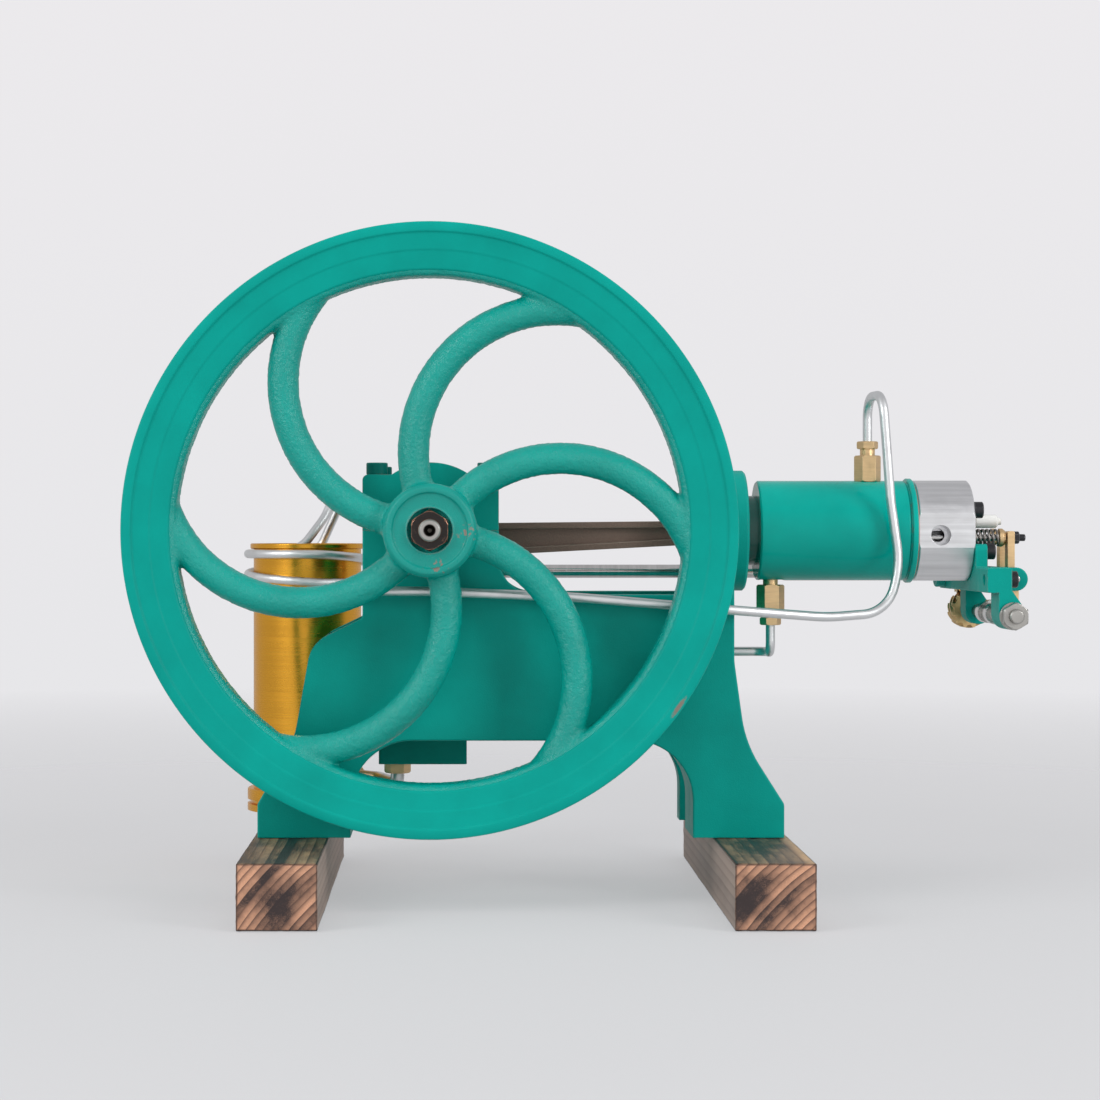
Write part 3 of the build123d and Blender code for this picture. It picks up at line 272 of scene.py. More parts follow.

# %% [markdown]
# ## Teal paint
# The castings carry one teal enamel, but it looks different on each: smooth and satin on the turned rim,
# speckled with light on the rough spokes, flat and a little grainy on the frame, and like glass on the
# water jacket. So one function mixes the paint. It takes the casting's grain, the shine, how far the
# edges are worn, how strong a painted highlight along them is, how strongly the paint reflects and how
# deep its colour is.
# `spots` is a function for marks that only one piece has. The liner's bare neck gets the darkest coat,
# which is painted shade for the shadow between the frame's flange and the jacket.

# %% Paint for castings
teal = (0.0, 0.325, 0.272)
highlight_teal = (0.04, 0.6, 0.52)
bare_iron = (0.3, 0.24, 0.2)


def mix_paint(title, grain, depth, shine, wear, gloss=0.1, spots=None, strength=1.0, edge_highlight=0.35):
    """Teal enamel over a casting with so many grains per metre, and that depth in metres."""
    material, tree, shader = start_finish(title)
    edge = use_effect(tree, edges, Radius=0.0007, Patches=210.0, Amount=wear)
    sand = use_effect(tree, casting, Grain=grain)
    smear = use_effect(tree, smears, Size=46.0)["Smear"]
    cloudy = fit(tree, sand["Cloud"], 0.3, 0.7)
    dark, light = (tuple(strength * share * part for part in teal) for share in (0.9, 1.08))
    paint = tint(tree, cloudy, dark, light)
    # Pale teal along every edge is a painted highlight, not wear; wear to bare iron is mixed in below.
    rubbed = tint(tree, calc(tree, "MULTIPLY", edge["Edge"], edge_highlight), paint, highlight_teal)
    bare = edge["Wear"] if spots is None else calc(tree, "MAXIMUM", edge["Wear"], spots(tree))
    dull = calc(tree, "ADD", calc(tree, "MULTIPLY", smear, 0.08), shine)
    finish_with(
        tree,
        shader,
        Base_Color=tint(tree, bare, rubbed, bare_iron),
        Roughness=calc(tree, "ADD", dull, calc(tree, "MULTIPLY", bare, 0.2)),
        Metallic=calc(tree, "MULTIPLY", bare, 0.8),
        Specular_IOR_Level=gloss,
        Normal=bumped(tree, sand["Height"], depth, edge["Normal"]),
    )
    return material


frame_paint = mix_paint("frame paint", 1500.0, 0.00005, 0.4, 0.05, strength=0.95)
jacket_paint = mix_paint("jacket enamel", 420.0, 0.000004, 0.1, 0.0, gloss=0.16, strength=1.12)
# The neck's dark coat is painted shade: it sits in shadow between the frame's flange and the jacket.
shaded_neck_paint = mix_paint("shaded neck enamel", 420.0, 0.000004, 0.12, 0.0, gloss=0.5, strength=0.35)
print("paints:", frame_paint.name, jacket_paint.name, shaded_neck_paint.name)

# %% [markdown]
# **Marks at a place.** Some wear belongs to one spot on the wheel, so its axis and its front come from
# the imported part's box, and a mark is a distance from a point.

# %% Where the wheel is
wheel_low, wheel_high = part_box("flywheel")
axis_x = (wheel_low.x + wheel_high.x) / 2
axis_z = (wheel_low.z + wheel_high.z) / 2
wheel_front = wheel_low.y
hub_proud = 0.003  # how far the hub stands out in front of the rim


def near_point(tree, point, reach):
    """1 at a point, falling to 0 at that distance from it."""
    made = add(tree, "VectorMath", operation="DISTANCE")
    fill(tree, made.inputs[0], own_place(tree))
    fill(tree, made.inputs[1], point)
    return fit(tree, made.outputs["Value"], reach, 0.0)


print("wheel axis at", round(axis_x, 4), round(axis_z, 4))

# %% [markdown]
# **Rub marks on the wheel.** The rim has one scrape down to iron, low on the right. A Mapping node
# turns the place to run along the rim and divides it by the scrape's size, so the distance grows fast
# across the scrape and slowly along it. The hub's face is worn in spots round its nut. Noise breaks up
# both.

# %% Wear on the wheel
scrape_turn = math.radians(35.4)  # below the wheel's right side
scrape_radius = 0.1233
scrape_reach = (0.0016, 0.004, 0.0085)  # across, into and along the rim


def rim_scrape(tree):
    """A scrape along the outer edge of the rim, long and thin."""
    right = scrape_radius * math.cos(scrape_turn)
    below = scrape_radius * math.sin(scrape_turn)
    mark = add(
        tree,
        "Mapping",
        vector_type="TEXTURE",
        Vector=own_place(tree),
        Location=(axis_x + right, wheel_front + hub_proud, axis_z - below),
        Rotation=(0.0, scrape_turn, 0.0),
        Scale=scrape_reach,
    )
    away = add(tree, "VectorMath", operation="LENGTH")
    fill(tree, away.inputs[0], mark.outputs[0])
    ragged = noise(tree, own_place(tree), 1300.0, 4.0, 0.7)
    near = fit(tree, away.outputs["Value"], 1.0, 0.2)
    return fit(tree, calc(tree, "MULTIPLY", near, ragged), 0.2, 0.42)


def hub_spots(tree):
    """Specks and rubs on the hub's face, more to its right."""
    ragged = noise(tree, own_place(tree), 620.0, 4.0, 0.6)
    right = near_point(tree, (axis_x + 0.0145, wheel_front, axis_z - 0.001), 0.009)
    below = near_point(tree, (axis_x + 0.003, wheel_front, axis_z - 0.0145), 0.008)
    worn = calc(tree, "MAXIMUM", right, below)
    return fit(tree, calc(tree, "ADD", ragged, calc(tree, "MULTIPLY", worn, 0.25)), 0.72, 0.8)


rim_paint = mix_paint("rim paint", 1900.0, 0.00001, 0.36, 0.0, spots=rim_scrape)
spoke_paint = mix_paint("spoke paint", 900.0, 0.0003, 0.2, 0.0, gloss=0.42)
# The hub's edges get the strongest painted highlight, standing in for the light on its lip.
hub_paint = mix_paint(
    "hub paint", 2100.0, 0.00009, 0.24, 0.4, gloss=0.4, spots=hub_spots, strength=0.88, edge_highlight=0.9
)
print("wheel paints:", rim_paint.name, spoke_paint.name, hub_paint.name)

# %% [markdown]
# ## Charred pine
# The beams are sawn pine, burnt with a torch and brushed. Growth rings are circles round a pith that
# lies outside each beam, so a distance from the pith, with its fraction taken, gives the rings on the
# end faces and long streaks on the sides at once. Late wood stays hard and dark, and some years are
# darker than others. Fine fibre is noise squeezed across the grain.

# %% Growth rings
ring_width = 0.0027


def from_line(tree, place, x, z):
    """Distance from a line that runs along the beam."""
    away = add(tree, "VectorMath", operation="DISTANCE")
    fill(tree, away.inputs[0], stretched(tree, place, (1.0, 0.0, 1.0)))
    fill(tree, away.inputs[1], (x, 0.0, z))
    return away.outputs["Value"]


def growth_rings(tree, place, pith_x, pith_z):
    """How late in its year the wood grew, and a value that each year has for itself."""
    wander = calc(tree, "MULTIPLY", noise(tree, stretched(tree, place, (45.0, 5.0, 45.0)), 1.0), 0.0016)
    round_pith = calc(tree, "ADD", from_line(tree, place, pith_x, pith_z), wander)
    across = calc(tree, "DIVIDE", round_pith, ring_width)
    late = calc(tree, "POWER", calc(tree, "FRACT", across), 2.6)
    count = add(tree, "CombineXYZ", X=calc(tree, "FLOOR", across)).outputs[0]
    return late, noise(tree, count, 0.77, 1.0)


print("rings are", ring_width, "wide")

# %% [markdown]
# **Where the torch burnt.** Char is darkest in a patch of the end face, on the top and in a thin line
# along every edge. It is one number of about 0 to 1, put together from those places and broken up by
# the fibre, and both the colour and the shine of the wood follow it.

# %% Char
beam_low, beam_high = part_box("left_beam")
beam_width, beam_height = beam_high.x - beam_low.x, beam_high.z - beam_low.z
line_start, line_full = 0.0014, 0.0004  # how far from an edge its burnt line starts and is full


def border(tree, place, mid_x, side, top):
    """1 along a beam's edges. A face gets no line from the edges that lie in its own plane."""
    split = add(tree, "SeparateXYZ", Vector=place)
    sideways = ("X", mid_x, beam_width / 2, side)
    upwards = ("Z", beam_height / 2, beam_height / 2, top)
    total = 0.0
    for axis, middle, half, own in (sideways, upwards):
        away = calc(tree, "ABSOLUTE", calc(tree, "SUBTRACT", split.outputs[axis], middle))
        near = fit(tree, away, half - line_start, half - line_full)
        line = calc(tree, "MULTIPLY", near, calc(tree, "SUBTRACT", 1.0, own))
        total = calc(tree, "MAXIMUM", total, line)
    return total


def char_amount(tree, place, year, fibre, core, line, side, top):
    """How far the wood is burnt. A side is burnt less than an end or the top."""
    burnt = noise(tree, stretched(tree, place, (60.0, 25.0, 60.0)), 1.0, 5.0, 0.65)
    char = calc(tree, "ADD", fit(tree, burnt, 0.4, 0.62, 0.0, 0.5), calc(tree, "MULTIPLY", core, 0.75))
    char = calc(tree, "ADD", char, fit(tree, year, 0.35, 0.65, -0.4, 0.4))
    char = calc(tree, "MULTIPLY", char, fit(tree, side, 0.0, 1.0, 1.0, 0.35))
    char = calc(tree, "ADD", char, calc(tree, "MULTIPLY", top, 0.5))
    char = calc(tree, "MAXIMUM", char, calc(tree, "MULTIPLY", line, 1.2))
    return calc(tree, "MULTIPLY", char, fit(tree, fibre, 0.25, 0.75, 0.6, 1.25))


print("beams are", round(beam_width, 4), "by", round(beam_height, 4))

# %% [markdown]
# ** The wood's colour.** Young wood is warm on the end face. A painted grey-pink sheen pales the sides and a
# painted gold reflection yellows the top. Late wood darkens it, and char covers both. The relief of the
# grain goes into the bump.

# %% Pine
soot = (0.035, 0.022, 0.022)
late_wood = (0.1, 0.05, 0.038)


def char_pine(title, mid_x, pith_x, pith_z, burn_x, burn_z):
    """Pine round mid_x with its pith at that place, burnt darkest at burn_x, burn_z on its end."""
    material, tree, shader = start_finish(title)
    place = own_place(tree)
    edge = use_effect(tree, edges, Radius=0.0011, Patches=160.0, Amount=1.0)
    late, year = growth_rings(tree, place, pith_x, pith_z)
    fibre = noise(tree, stretched(tree, place, (2100.0, 60.0, 2100.0)), 1.0, 4.0, 0.8)
    facing = add(tree, "SeparateXYZ", Vector=add(tree, "NewGeometry").outputs["True Normal"])
    top = fit(tree, facing.outputs["Z"], 0.5, 0.9)
    side = fit(tree, calc(tree, "ABSOLUTE", facing.outputs["X"]), 0.5, 0.9)
    core = fit(tree, from_line(tree, place, burn_x, burn_z), 0.021, 0.004)
    line = border(tree, place, mid_x, side, top)
    char = char_amount(tree, place, year, fibre, core, line, side, top)
    young_and_top_reflection = tint(tree, fit(tree, fibre, 0.3, 0.7), (0.56, 0.28, 0.165), (0.86, 0.46, 0.29))
    # Painted reflection: a gold tint on the top stands in for what the top mirrors.
    young_and_top_reflection = tint(tree, calc(tree, "MULTIPLY", top, 0.6), young_and_top_reflection, (0.5, 0.38, 0.2))
    # Painted sheen: a grey-pink tint on the sides stands in for their shine at a grazing angle.
    with_side_sheen = tint(tree, calc(tree, "MULTIPLY", side, 0.9), young_and_top_reflection, (0.36, 0.285, 0.245))
    dark_rings = calc(tree, "MULTIPLY", late, fit(tree, side, 0.0, 1.0, 0.9, 0.4))
    ringed = tint(tree, dark_rings, with_side_sheen, late_wood)
    relief = calc(tree, "ADD", calc(tree, "MULTIPLY", late, 0.8), calc(tree, "MULTIPLY", fibre, 0.9))
    finish_with(
        tree,
        shader,
        Base_Color=tint(tree, fit(tree, char, 0.1, 1.0), ringed, soot),
        Roughness=fit(tree, char, 0.0, 1.0, 0.52, 0.4),
        Specular_IOR_Level=0.42,
        Normal=bumped(tree, relief, 0.00022, edge["Normal"]),
    )
    return material


left_middle = (beam_low.x + beam_high.x) / 2
right_middle = sum(corner.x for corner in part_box("right_beam")) / 2
left_pine = char_pine("left pine", left_middle, left_middle + 0.085, -0.062, left_middle + 0.002, 0.008)
right_pine = char_pine("right pine", right_middle, right_middle + 0.07, -0.06, right_middle - 0.008, 0.011)
print("woods:", left_pine.name, right_pine.name)

# %% [markdown]
# ## Metals
# A metal's look is mostly its roughness and the direction of its marks. One function makes them all:
# it takes the colour, how the place is squeezed into marks, and how deep they are. Brass and aluminium
# differ by colour and shine, and a turned part differs from a milled one by its squeeze. The gasket's
# soft copper comes first, because its marks have no direction.

# %% Metal
def make_metal(
    title, colour, shine, squeeze, depth, edge_colour=None, wear=0.35, darker=0.82, smear=0.12, painted_shade=None
):
    """Metal with tool marks. squeeze is how many marks there are per metre along each axis."""
    material, tree, shader = start_finish(title)
    edge = use_effect(tree, edges, Radius=0.00035, Patches=420.0, Amount=wear)
    mark = use_effect(tree, marks, Place=stretched(tree, own_place(tree), squeeze))
    dull = use_effect(tree, smears, Size=85.0)["Smear"]
    deep = tuple(darker * part for part in colour)
    body = tint(tree, fit(tree, mark["Streak"], 0.3, 0.7), deep, colour)
    body = tint(tree, calc(tree, "MULTIPLY", edge["Wear"], 0.8), body, edge_colour or colour)
    # An optional dark mark, painted where shade falls in a hole.
    if painted_shade:
        body = tint(tree, painted_shade(tree), body, (0.02, 0.017, 0.015))
    streaky = fit(tree, mark["Streak"], 0.2, 0.8, shine, shine + 0.12)
    finish_with(
        tree,
        shader,
        Base_Color=body,
        Metallic=1.0,
        Roughness=calc(tree, "ADD", streaky, calc(tree, "MULTIPLY", dull, smear)),
        Normal=bumped(tree, mark["Height"], depth, edge["Normal"]),
    )
    return material


copper = make_metal("soft copper", (0.6, 0.42, 0.34), 0.4, (800.0, 800.0, 800.0), 0.000004)
print("first metal:", copper.name)

# %% [markdown]
# **Steel.** The side shaft, the valves, the pins and the cams are polished, with faint rings about X.
# The crankshaft and the camshaft are turned, with rings about Y. The crankshaft's end has a centre hole
# from the lathe, and the shade in it is painted as a dark disc.

# %% Steel
turned_grey = (0.5, 0.485, 0.46)
turned_rings = (300.0, 5200.0, 300.0)


def centre_hole_shade(tree):
    """Painted shade in the centre hole of the shaft's end."""
    shaft_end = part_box("crankshaft")[0].y
    return fit(tree, near_point(tree, (axis_x, shaft_end, axis_z), 0.0029), 0.05, 0.22)


polished = make_metal("polished steel", (0.72, 0.71, 0.7), 0.1, (2600.0, 60.0, 60.0), 0.000002, smear=0.06)
turned = make_metal("turned steel", turned_grey, 0.26, turned_rings, 0.000006)
shaft_steel = make_metal("shaft steel", turned_grey, 0.26, turned_rings, 0.000006, painted_shade=centre_hole_shade)
spring_wire = make_metal("spring wire", (0.33, 0.31, 0.29), 0.28, (900.0, 900.0, 900.0), 0.000004)
print("steels:", polished.name, turned.name, shaft_steel.name, spring_wire.name)

# %% [markdown]
# **Brass, aluminium and gold.** Brass is paler where its edges are rubbed. Aluminium is the brightest
# metal here: the head has marks along the cylinder's axis, and the drawn pipes have an even skin. The
# tank is anodised gold, with rings about its upright axis.

# %% Brass and aluminium
brass = make_metal(
    "milled brass", (0.88, 0.62, 0.34), 0.27, (500.0, 500.0, 3600.0), 0.000007, (0.95, 0.76, 0.48)
)
gear_brass = make_metal(
    "cut brass", (0.78, 0.54, 0.27), 0.3, (2400.0, 2400.0, 700.0), 0.000008, (0.9, 0.72, 0.42)
)
bright = make_metal(
    "milled aluminium", (0.86, 0.86, 0.88), 0.25, (90.0, 1900.0, 1900.0), 0.00001, darker=0.8
)
tube = make_metal(
    "drawn aluminium tube", (0.82, 0.83, 0.84), 0.3, (700.0, 700.0, 700.0), 0.000003, darker=0.93
)
gold = make_metal(
    "gold anodised", (0.86, 0.42, 0.045), 0.2, (8.0, 8.0, 3000.0), 0.000003, darker=0.95, smear=0.02
)
print("soft metals:", brass.name, gear_brass.name, bright.name, tube.name, gold.name)

# %% [markdown]
# **Dark metals.** The connecting rod is a brown cast bronze with a matt sandy skin, the screws are
# blackened steel that shines only at the edges, and the wheel's nut is nearly black with its corners
# rubbed to copper red. They share one recipe with a rough base and a strong edge colour. The screws of
# the bearing caps were painted with the frame, so they get a thin, dark coat of its paint.

# %% Dark metal
def make_dark_metal(title, colour, shine, grain, depth, edge_colour, wear, metallic=0.75):
    """Matt dark metal with a sandy skin, rubbed to another colour at its edges."""
    material, tree, shader = start_finish(title)
    edge = use_effect(tree, edges, Radius=0.0005, Patches=520.0, Amount=wear)
    sand = use_effect(tree, casting, Grain=grain)
    skin = tint(tree, fit(tree, sand["Height"], 0.5, 1.0), tuple(0.7 * part for part in colour), colour)
    finish_with(
        tree,
        shader,
        Base_Color=tint(tree, edge["Wear"], skin, edge_colour),
        Metallic=metallic,
        Roughness=fit(tree, edge["Wear"], 0.0, 1.0, shine, 0.25),
        Normal=bumped(tree, sand["Height"], depth, edge["Normal"]),
    )
    return material


rod_bronze = make_dark_metal(
    "rod bronze", (0.25, 0.165, 0.13), 0.5, 2300.0, 0.00007, (0.5, 0.4, 0.33), 0.5, metallic=0.35
)
black_screw = make_dark_metal(
    "blackened steel", (0.045, 0.045, 0.05), 0.34, 1800.0, 0.00001, (0.3, 0.3, 0.31), 0.5
)
wheel_nut = make_dark_metal(
    "rubbed nut", (0.035, 0.03, 0.028), 0.36, 1500.0, 0.00002, (0.5, 0.25, 0.16), 0.86
)
green_screw = mix_paint("painted screws", 1800.0, 0.00003, 0.4, 0.3, strength=0.4)
print("dark finishes:", rod_bronze.name, black_screw.name, wheel_nut.name, green_screw.name)

# %% [markdown]
# **Rubber and porcelain.** The seals between liner and jacket are black rubber with a dry bloom, and
# the plug's insulator is glazed, so it has a clear coat over a white that is not quite even.

# %% Rubber and porcelain
def make_plain(title, colour, shine, coat, depth):
    """A non-metal with a slow change of tone and a fine skin."""
    material, tree, shader = start_finish(title)
    sand = use_effect(tree, casting, Grain=1700.0)
    edge = use_effect(tree, edges, Radius=0.0003)
    tone = tint(tree, fit(tree, sand["Cloud"], 0.3, 0.7), tuple(0.86 * part for part in colour), colour)
    finish_with(
        tree,
        shader,
        Base_Color=tone,
        Roughness=fit(tree, sand["Cloud"], 0.3, 0.7, shine, shine + 0.1),
        Coat_Weight=coat,
        Coat_Roughness=0.05,
        Normal=bumped(tree, sand["Height"], depth, edge["Normal"]),
    )
    return material


rubber = make_plain("seal rubber", (0.022, 0.022, 0.024), 0.55, 0.0, 0.00002)
porcelain = make_plain("glazed porcelain", (0.88, 0.88, 0.85), 0.2, 0.9, 0.000002)
print("rubber and porcelain are ready")

# %% [markdown]
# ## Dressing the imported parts
# Most parts already have the right shape, so they only get a finish, through their own material slots.
# One table says which finish goes on which part.

# %% Dress the parts
finishes = {
    frame_paint: "engine_frame near_bearing_cap far_bearing_cap valve_bracket pivot_block "
    "side_shaft_bearing manifold_block",
    jacket_paint: "water_jacket jacket_ring",
    shaded_neck_paint: "cylinder_liner",
    green_screw: "bearing_cap_screws",
    polished: "side_shaft rocker_pin inlet_valve exhaust_valve wrist_pin cams",
    shaft_steel: "crankshaft",
    turned: "crank_pin camshaft camshaft_nut base_screws spark_plug flywheel_key piston_rings",
    black_screw: "head_screws bracket_screws inlet_adjuster exhaust_adjuster inlet_lock_nut "
    "exhaust_lock_nut",
    wheel_nut: "flywheel_nut",
    spring_wire: "inlet_spring exhaust_spring",
    brass: "jacket_fittings gland_nuts outlet_fittings inlet_rocker exhaust_rocker valve_guides "
    "inlet_retainer exhaust_retainer crank_bushes",
    gear_brass: "crank_gear side_shaft_gear cam_drive_gear camshaft_gear",
    rod_bronze: "connecting_rod",
    bright: "cylinder_head piston",
    tube: "outlet_pipe return_pipe hot_pipe",
    gold: "water_tank",
    copper: "head_gasket",
    rubber: "jacket_seals",
    porcelain: "spark_plug_insulator",
}
dressed = 0
for finish, names in finishes.items():
    for name in names.split():
        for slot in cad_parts[name].material_slots:
            slot.material = finish
        dressed += 1
print(dressed, "parts dressed")

# %% [markdown]
# ## Tools for new pieces
# A new piece starts as a primitive, is shaped in edit mode, and ends at the world's origin with its
# place in its mesh. `alone` selects one object and nothing else, because an operator acts on all that
# is selected. `apply_change` adds a modifier and applies it. `done` gives the piece its name and its
# material, hides the imported part that it stands for, and hangs it on the body that it moves with.

# %% Piece helpers
def alone(piece):
    """Makes one object the only one selected."""
    bpy.ops.object.select_all(action="DESELECT")
    piece.select_set(True)
    bpy.context.view_layer.objects.active = piece


def apply_change(piece, kind, **settings):
    """Adds a modifier with these settings and applies it."""
    alone(piece)
    change = piece.modifiers.new(kind.lower(), kind)
    for name, value in settings.items():
        setattr(change, name, value)
    bpy.ops.object.modifier_apply(modifier=change.name)


def done(piece, name, finish, body, stands_for):
    """Names and dresses a finished piece, and lets it ride on its body."""
    alone(piece)
    bpy.ops.object.transform_apply(location=True, rotation=True, scale=True)
    piece.name = name
    piece.data.materials.clear()
    piece.data.materials.append(finish)
    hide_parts(stands_for)
    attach(piece, body)
    print(name, "has", len(piece.data.polygons), "faces")


print("piece helpers: alone, apply_change, done")

# %% [markdown]
# ## The wheel's rim, turned
# The rim was turned after casting: a flat outer band, a small step, and a ridge on the inner band.
# Such a shape is one outline swept round an axis, so a plane is merged to a single point, extruded
# along the outline and spun, as the cutting edge of a lathe would do it. The Bevel modifier then breaks
# its corners.

# %% Lathe
def lathe(outline, steps):
    """Turns an outline of (radius, y) points round the wheel's axis."""
    radius, y = outline[0]
    bpy.ops.object.select_all(action="DESELECT")
    bpy.ops.mesh.primitive_plane_add(size=0.001, location=(axis_x + radius, y, axis_z))
    piece = bpy.context.active_object
    bpy.ops.object.mode_set(mode="EDIT")
    bpy.ops.mesh.select_all(action="SELECT")
    bpy.ops.mesh.merge(type="CENTER")
    for first, second in zip(outline, outline[1:]):
        step = (second[0] - first[0], second[1] - first[1], 0.0)
        bpy.ops.mesh.extrude_region_move(TRANSFORM_OT_translate={"value": step})
    bpy.ops.mesh.select_all(action="SELECT")
    bpy.ops.mesh.spin(steps=steps, angle=math.tau, center=(axis_x, y, axis_z), axis=(0.0, 1.0, 0.0))
    bpy.ops.mesh.select_all(action="SELECT")
    bpy.ops.mesh.remove_doubles(threshold=0.000002)
    bpy.ops.mesh.normals_make_consistent(inside=False)
    bpy.ops.object.mode_set(mode="OBJECT")
    return piece


def break_corners(piece, width):
    """Rounds a turned piece's corners and smooths the rest."""
    corner = math.radians(25)
    apply_change(piece, "BEVEL", width=width, segments=2, limit_method="ANGLE", angle_limit=corner)
    bpy.ops.object.shade_smooth_by_angle(angle=math.radians(35))


print("the lathe turns about", round(axis_x, 4), round(axis_z, 4))

# %% [markdown]
# **The rim's outline.** It is the same on both sides, so half of it is written down as points of radius
# and reach from the rim's middle, from the bore outwards, and the other half is its mirror image.

# %% Rim
rim_radius = (wheel_high.x - wheel_low.x) / 2
rim_half = 0.011
rim_middle = wheel_front + hub_proud + rim_half
rim_depth = 0.0215
inner_radius = rim_radius - rim_depth
half_outline = [
    (inner_radius + 0.0018, 0.0074),
    (inner_radius + 0.0026, 0.0084),
    (inner_radius + 0.0098, 0.0092),
    (inner_radius + 0.0104, 0.0096),
    (inner_radius + 0.0171, 0.0102),
    (inner_radius + 0.0176, rim_half),
    (rim_radius, rim_half),
]
rim_outline = [(radius, rim_middle - reach) for radius, reach in half_outline]
rim_outline += [(radius, rim_middle + reach) for radius, reach in reversed(half_outline)]
rim = lathe([*rim_outline, rim_outline[0]], 240)
break_corners(rim, 0.0004)
done(rim, "wheel_rim", rim_paint, "crank", "flywheel")

# %% [markdown]
# ## The spokes, cast
# Spokes and hub came out of a sand mould, so nothing on them is sharp: they flow into the rim and the
# hub with soft corners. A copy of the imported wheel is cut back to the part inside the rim, its hub is
# faced off to make room for the turned face, and it is remeshed into small even faces.

# %% Cast spokes
inside_rim = 0.0135  # how far under the rim's outer face the casting ends
faced_radius = 0.0208  # how much of the hub's front is faced off


def cut_wheel(piece, operation, radius, depth, y, sides):
    """Cuts a piece with a cylinder on the wheel's axis."""
    bpy.ops.object.select_all(action="DESELECT")
    bpy.ops.mesh.primitive_cylinder_add(
        vertices=sides,
        radius=radius,
        depth=depth,
        location=(axis_x, y, axis_z),
        rotation=(math.pi / 2, 0.0, 0.0),
    )
    cutter = bpy.context.active_object
    apply_change(piece, "BOOLEAN", operation=operation, object=cutter)
    bpy.data.objects.remove(cutter)


spokes = bpy.data.objects.new("cast spokes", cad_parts["flywheel"].data.copy())
bpy.context.scene.collection.objects.link(spokes)
alone(spokes)
bpy.ops.object.mode_set(mode="EDIT")
bpy.ops.mesh.select_all(action="SELECT")
bpy.ops.mesh.remove_doubles(threshold=0.000005)
bpy.ops.object.mode_set(mode="OBJECT")
cut_wheel(spokes, "INTERSECT", radius=rim_radius - inside_rim, depth=0.06, y=rim_middle, sides=128)
cut_wheel(spokes, "DIFFERENCE", radius=faced_radius, depth=0.008, y=wheel_front - 0.001, sides=96)
apply_change(spokes, "REMESH", mode="VOXEL", voxel_size=0.0008)
print("remeshed to", len(spokes.data.polygons), "faces")

# %% [markdown]
# **The sand's skin.** Smoothing fills the corners but also thins the spokes a little, so the skin is
# pushed out again by about the same amount. A fine cloud then moves it in and out by up to a fifth of a
# millimetre, which is what breaks the light into specks.

# %% Soften and roughen the casting
apply_change(spokes, "SMOOTH", factor=0.5, iterations=22)
apply_change(spokes, "DISPLACE", strength=0.00022, mid_level=0.0)
sand_skin = bpy.data.textures.new("sand skin", "CLOUDS")
sand_skin.noise_scale = 0.0016
sand_skin.noise_depth = 1
apply_change(spokes, "DISPLACE", texture=sand_skin, texture_coords="LOCAL", strength=0.00045, mid_level=0.5)
bpy.ops.object.shade_smooth()
done(spokes, "wheel_spokes", spoke_paint, "crank", "flywheel")

# %% [markdown]
# ## The hub's face, turned
# Only the front of the hub met a tool: a raised lip near its edge, a flat ring inside it, and the
# sunk seat for the nut. The same lathe makes it as a thin cap on the faced casting. Its points are a
# radius and a depth behind the wheel's front.

# %% Hub face
hub_steps = [
    (0.0184, 0.0045),
    (0.0190, 0.0036),
    (0.0190, 0.0017),
    (0.0175, 0.0001),
    (0.0156, 0.0001),
    (0.0149, 0.0012),
    (0.0098, 0.0012),
    (0.0096, 0.0008),
    (0.0092, 0.0008),
    (0.0089, 0.0014),
    (0.0089, 0.0044),
    (0.0048, 0.0044),
    (0.0048, 0.0060),
]
hub_face = lathe([(radius, wheel_front + depth) for radius, depth in hub_steps], 128)
break_corners(hub_face, 0.00035)
done(hub_face, "wheel_hub_face", hub_paint, "crank", "flywheel")

# %% [markdown]
# ## The beams, sawn and brushed
# A beam is a block with slightly rounded edges, and brushing has cut the soft wood away between the
# fibres. The block is bevelled, cut into short lengths and subdivided, so that a cloud stretched along
# the grain can sink real furrows into it. It only sinks, so the beam stays inside its packed size. An
# empty stretches the cloud: the modifier reads it in the empty's own scale.

# %% Beam
lengths = 34  # how many short lengths a beam is cut into
furrow_stretch = 18.0  # how much longer a furrow is than it is wide


def saw_beam(node, finish):
    """A brushed beam in the place of a packed one."""
    low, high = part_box(node)
    bpy.ops.object.select_all(action="DESELECT")
    bpy.ops.mesh.primitive_cube_add(size=1.0, location=(low + high) / 2, scale=high - low)
    bpy.ops.object.transform_apply(location=True, rotation=True, scale=True)
    beam = bpy.context.active_object
    bpy.ops.object.mode_set(mode="EDIT")
    bpy.ops.mesh.select_all(action="SELECT")
    bpy.ops.mesh.bevel(offset=0.0009, segments=3, affect="EDGES")
    for cut in range(1, lengths):
        bpy.ops.mesh.select_all(action="SELECT")
        y = low.y + (high.y - low.y) * cut / lengths
        bpy.ops.mesh.bisect(plane_co=(0.0, y, 0.0), plane_no=(0.0, 1.0, 0.0))
    bpy.ops.mesh.select_all(action="SELECT")
    bpy.ops.mesh.subdivide(number_cuts=3)
    bpy.ops.mesh.subdivide(number_cuts=3)
    bpy.ops.object.mode_set(mode="OBJECT")
    stretch = bpy.data.objects.new("grain direction", None)
    stretch.scale = (1.0, furrow_stretch, 1.0)
    bpy.context.scene.collection.objects.link(stretch)
    furrows = bpy.data.textures.new("furrows", "CLOUDS")
    furrows.noise_scale = 0.0024
    bpy.context.view_layer.update()
    sinking = {"texture_coords": "OBJECT", "texture_coords_object": stretch, "texture": furrows}
    apply_change(beam, "DISPLACE", strength=0.0005, mid_level=1.0, **sinking)
    bpy.data.objects.remove(stretch)
    bpy.ops.object.shade_smooth_by_angle(angle=math.radians(40))
    done(beam, "brushed_" + node, finish, "frame", node)


saw_beam("left_beam", left_pine)
saw_beam("right_beam", right_pine)

# %% [markdown]
# ## The table, the light and the camera
# The engine stands on a pale, seamless surface. The floor is a wide disc that is half clear and fades
# out with distance, so that it has no visible end from any side.

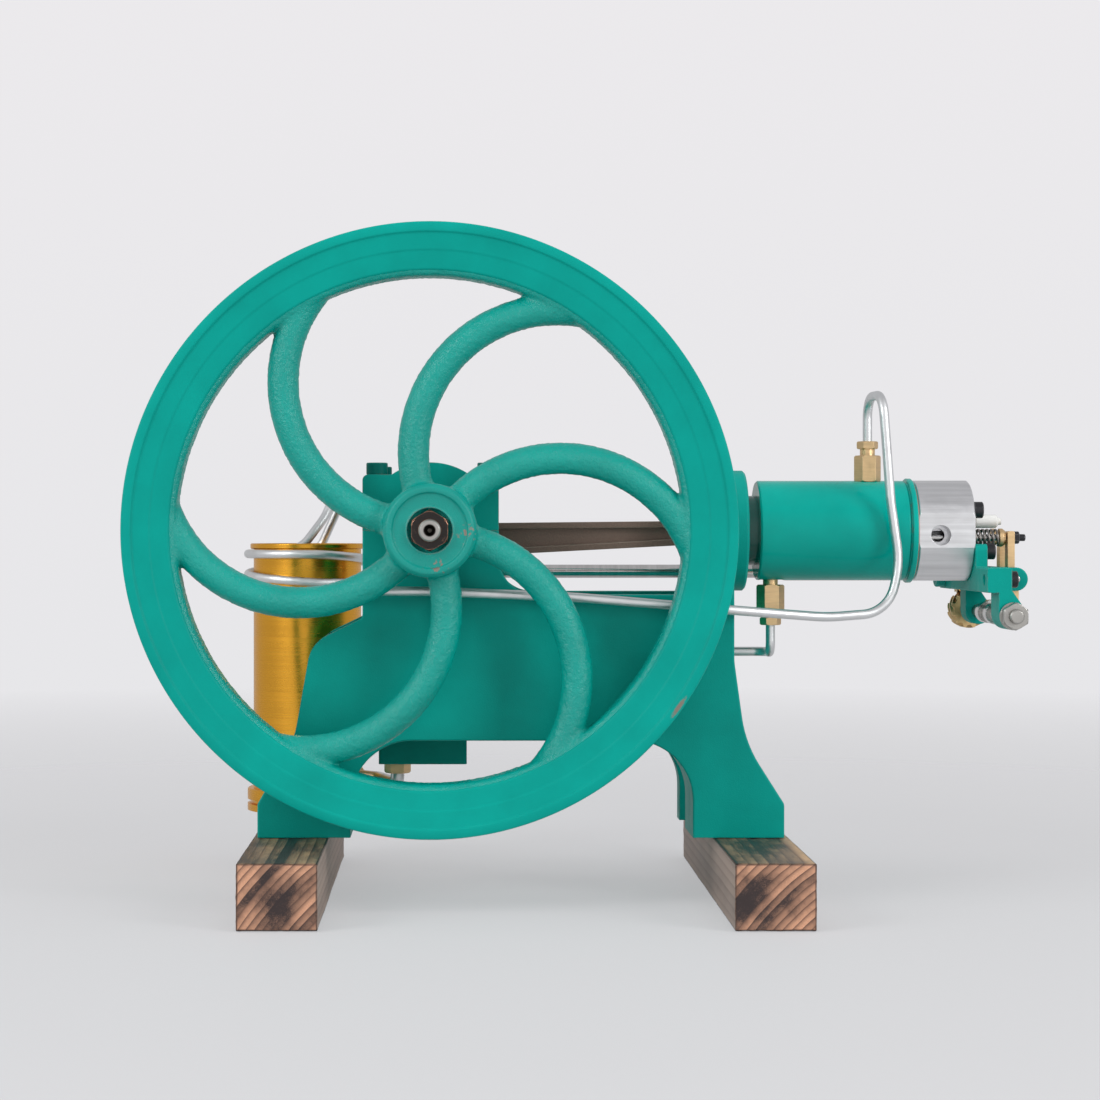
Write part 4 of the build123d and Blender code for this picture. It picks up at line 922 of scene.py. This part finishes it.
# %% Floor
bpy.ops.object.select_all(action="DESELECT")
bpy.ops.mesh.primitive_circle_add(vertices=96, radius=3.0, fill_type="NGON", location=(0.0, 0.0, -0.0001))
floor = bpy.context.active_object
floor.name = "pale_table"
material, tree, shader = start_finish("pale table")
spread = add(tree, "VectorMath", operation="LENGTH")
fill(tree, spread.inputs[0], stretched(tree, own_place(tree), (1.0, 1.0, 0.0)))
finish_with(
    tree,
    shader,
    Base_Color=(0.55, 0.55, 0.56),
    Roughness=0.6,
    Specular_IOR_Level=0.1,
    Alpha=fit(tree, spread.outputs["Value"], 1.5, 0.35, 0.0, 0.5),
)
floor.data.materials.append(material)
print("floor is ready")

# %% [markdown]
# **Light.** A soft room lights the engine from all round, brighter from the front, and the camera sees
# it in a paler tone than the one that it lights with. A large soft panel hangs above, out of the
# reflections, and one stands at each side, which gives the broad highlights on the jacket and the pipes.

# %% Light
world = bpy.data.worlds.new("soft room")
bpy.context.scene.world = world
world.use_nodes = True
room = world.node_tree
room.nodes.clear()
up = add(room, "SeparateXYZ", Vector=add(room, "TexCoord").outputs["Generated"])
lit = tint(room, fit(room, up.outputs["Z"], -0.25, 0.8), (0.54, 0.54, 0.545), (0.5, 0.5, 0.51))
lit = tint(room, fit(room, up.outputs["Y"], -0.6, -0.95, 0.0, 0.6), lit, (1.0, 1.0, 1.0))
seen = tint(room, fit(room, up.outputs["Z"], -0.12, 0.2), (0.79, 0.79, 0.81), (0.835, 0.82, 0.84))
straight = add(room, "LightPath").outputs["Is Camera Ray"]
glow = add(room, "Background", Color=tint(room, straight, lit, seen))
add(room, "OutputWorld", Surface=glow.outputs[0])


def hang_panel(name, place, aim, size, power):
    """A large soft light panel, turned towards a point. Gives it back."""
    panel = bpy.data.objects.new(name, bpy.data.lights.new(name, "AREA"))
    panel.data.shape = "RECTANGLE"
    panel.data.size, panel.data.size_y = size
    panel.data.energy = power
    panel.location = place
    panel.rotation_euler = (Vector(aim) - Vector(place)).to_track_quat("-Z", "Y").to_euler()
    bpy.context.scene.collection.objects.link(panel)
    return panel


above = hang_panel("panel above", (0.0, -0.25, 1.35), (0.0, 0.0, 0.1), (1.3, 1.0), 5.5)
above.visible_glossy = False
hang_panel("panel left", (-1.15, -0.85, 0.75), (0.0, 0.0, 0.13), (0.6, 0.8), 8.5)
hang_panel("panel right", (1.15, -0.95, 0.65), (0.05, 0.0, 0.13), (0.5, 0.7), 9.0)
print("room and three panels")

# %% [markdown]
# **Camera.** A long lens at about half the wheel's height looks straight along Y, so upright edges stay
# upright, and a small shift puts the engine in the frame.

# %% Camera
camera = bpy.data.objects.new("camera", bpy.data.cameras.new("camera"))
bpy.context.scene.collection.objects.link(camera)
camera.location = (-0.0530, -1.1155, 0.1535)
camera.rotation_euler = (math.pi / 2, 0.0, 0.0)
camera.data.sensor_width = 36.0
camera.data.lens = 85.1
camera.data.shift_x = 0.083
camera.data.shift_y = -0.0155
bpy.context.scene.camera = camera
bpy.context.scene.view_settings.view_transform = "Standard"
print("camera looks along +Y from", tuple(camera.location))
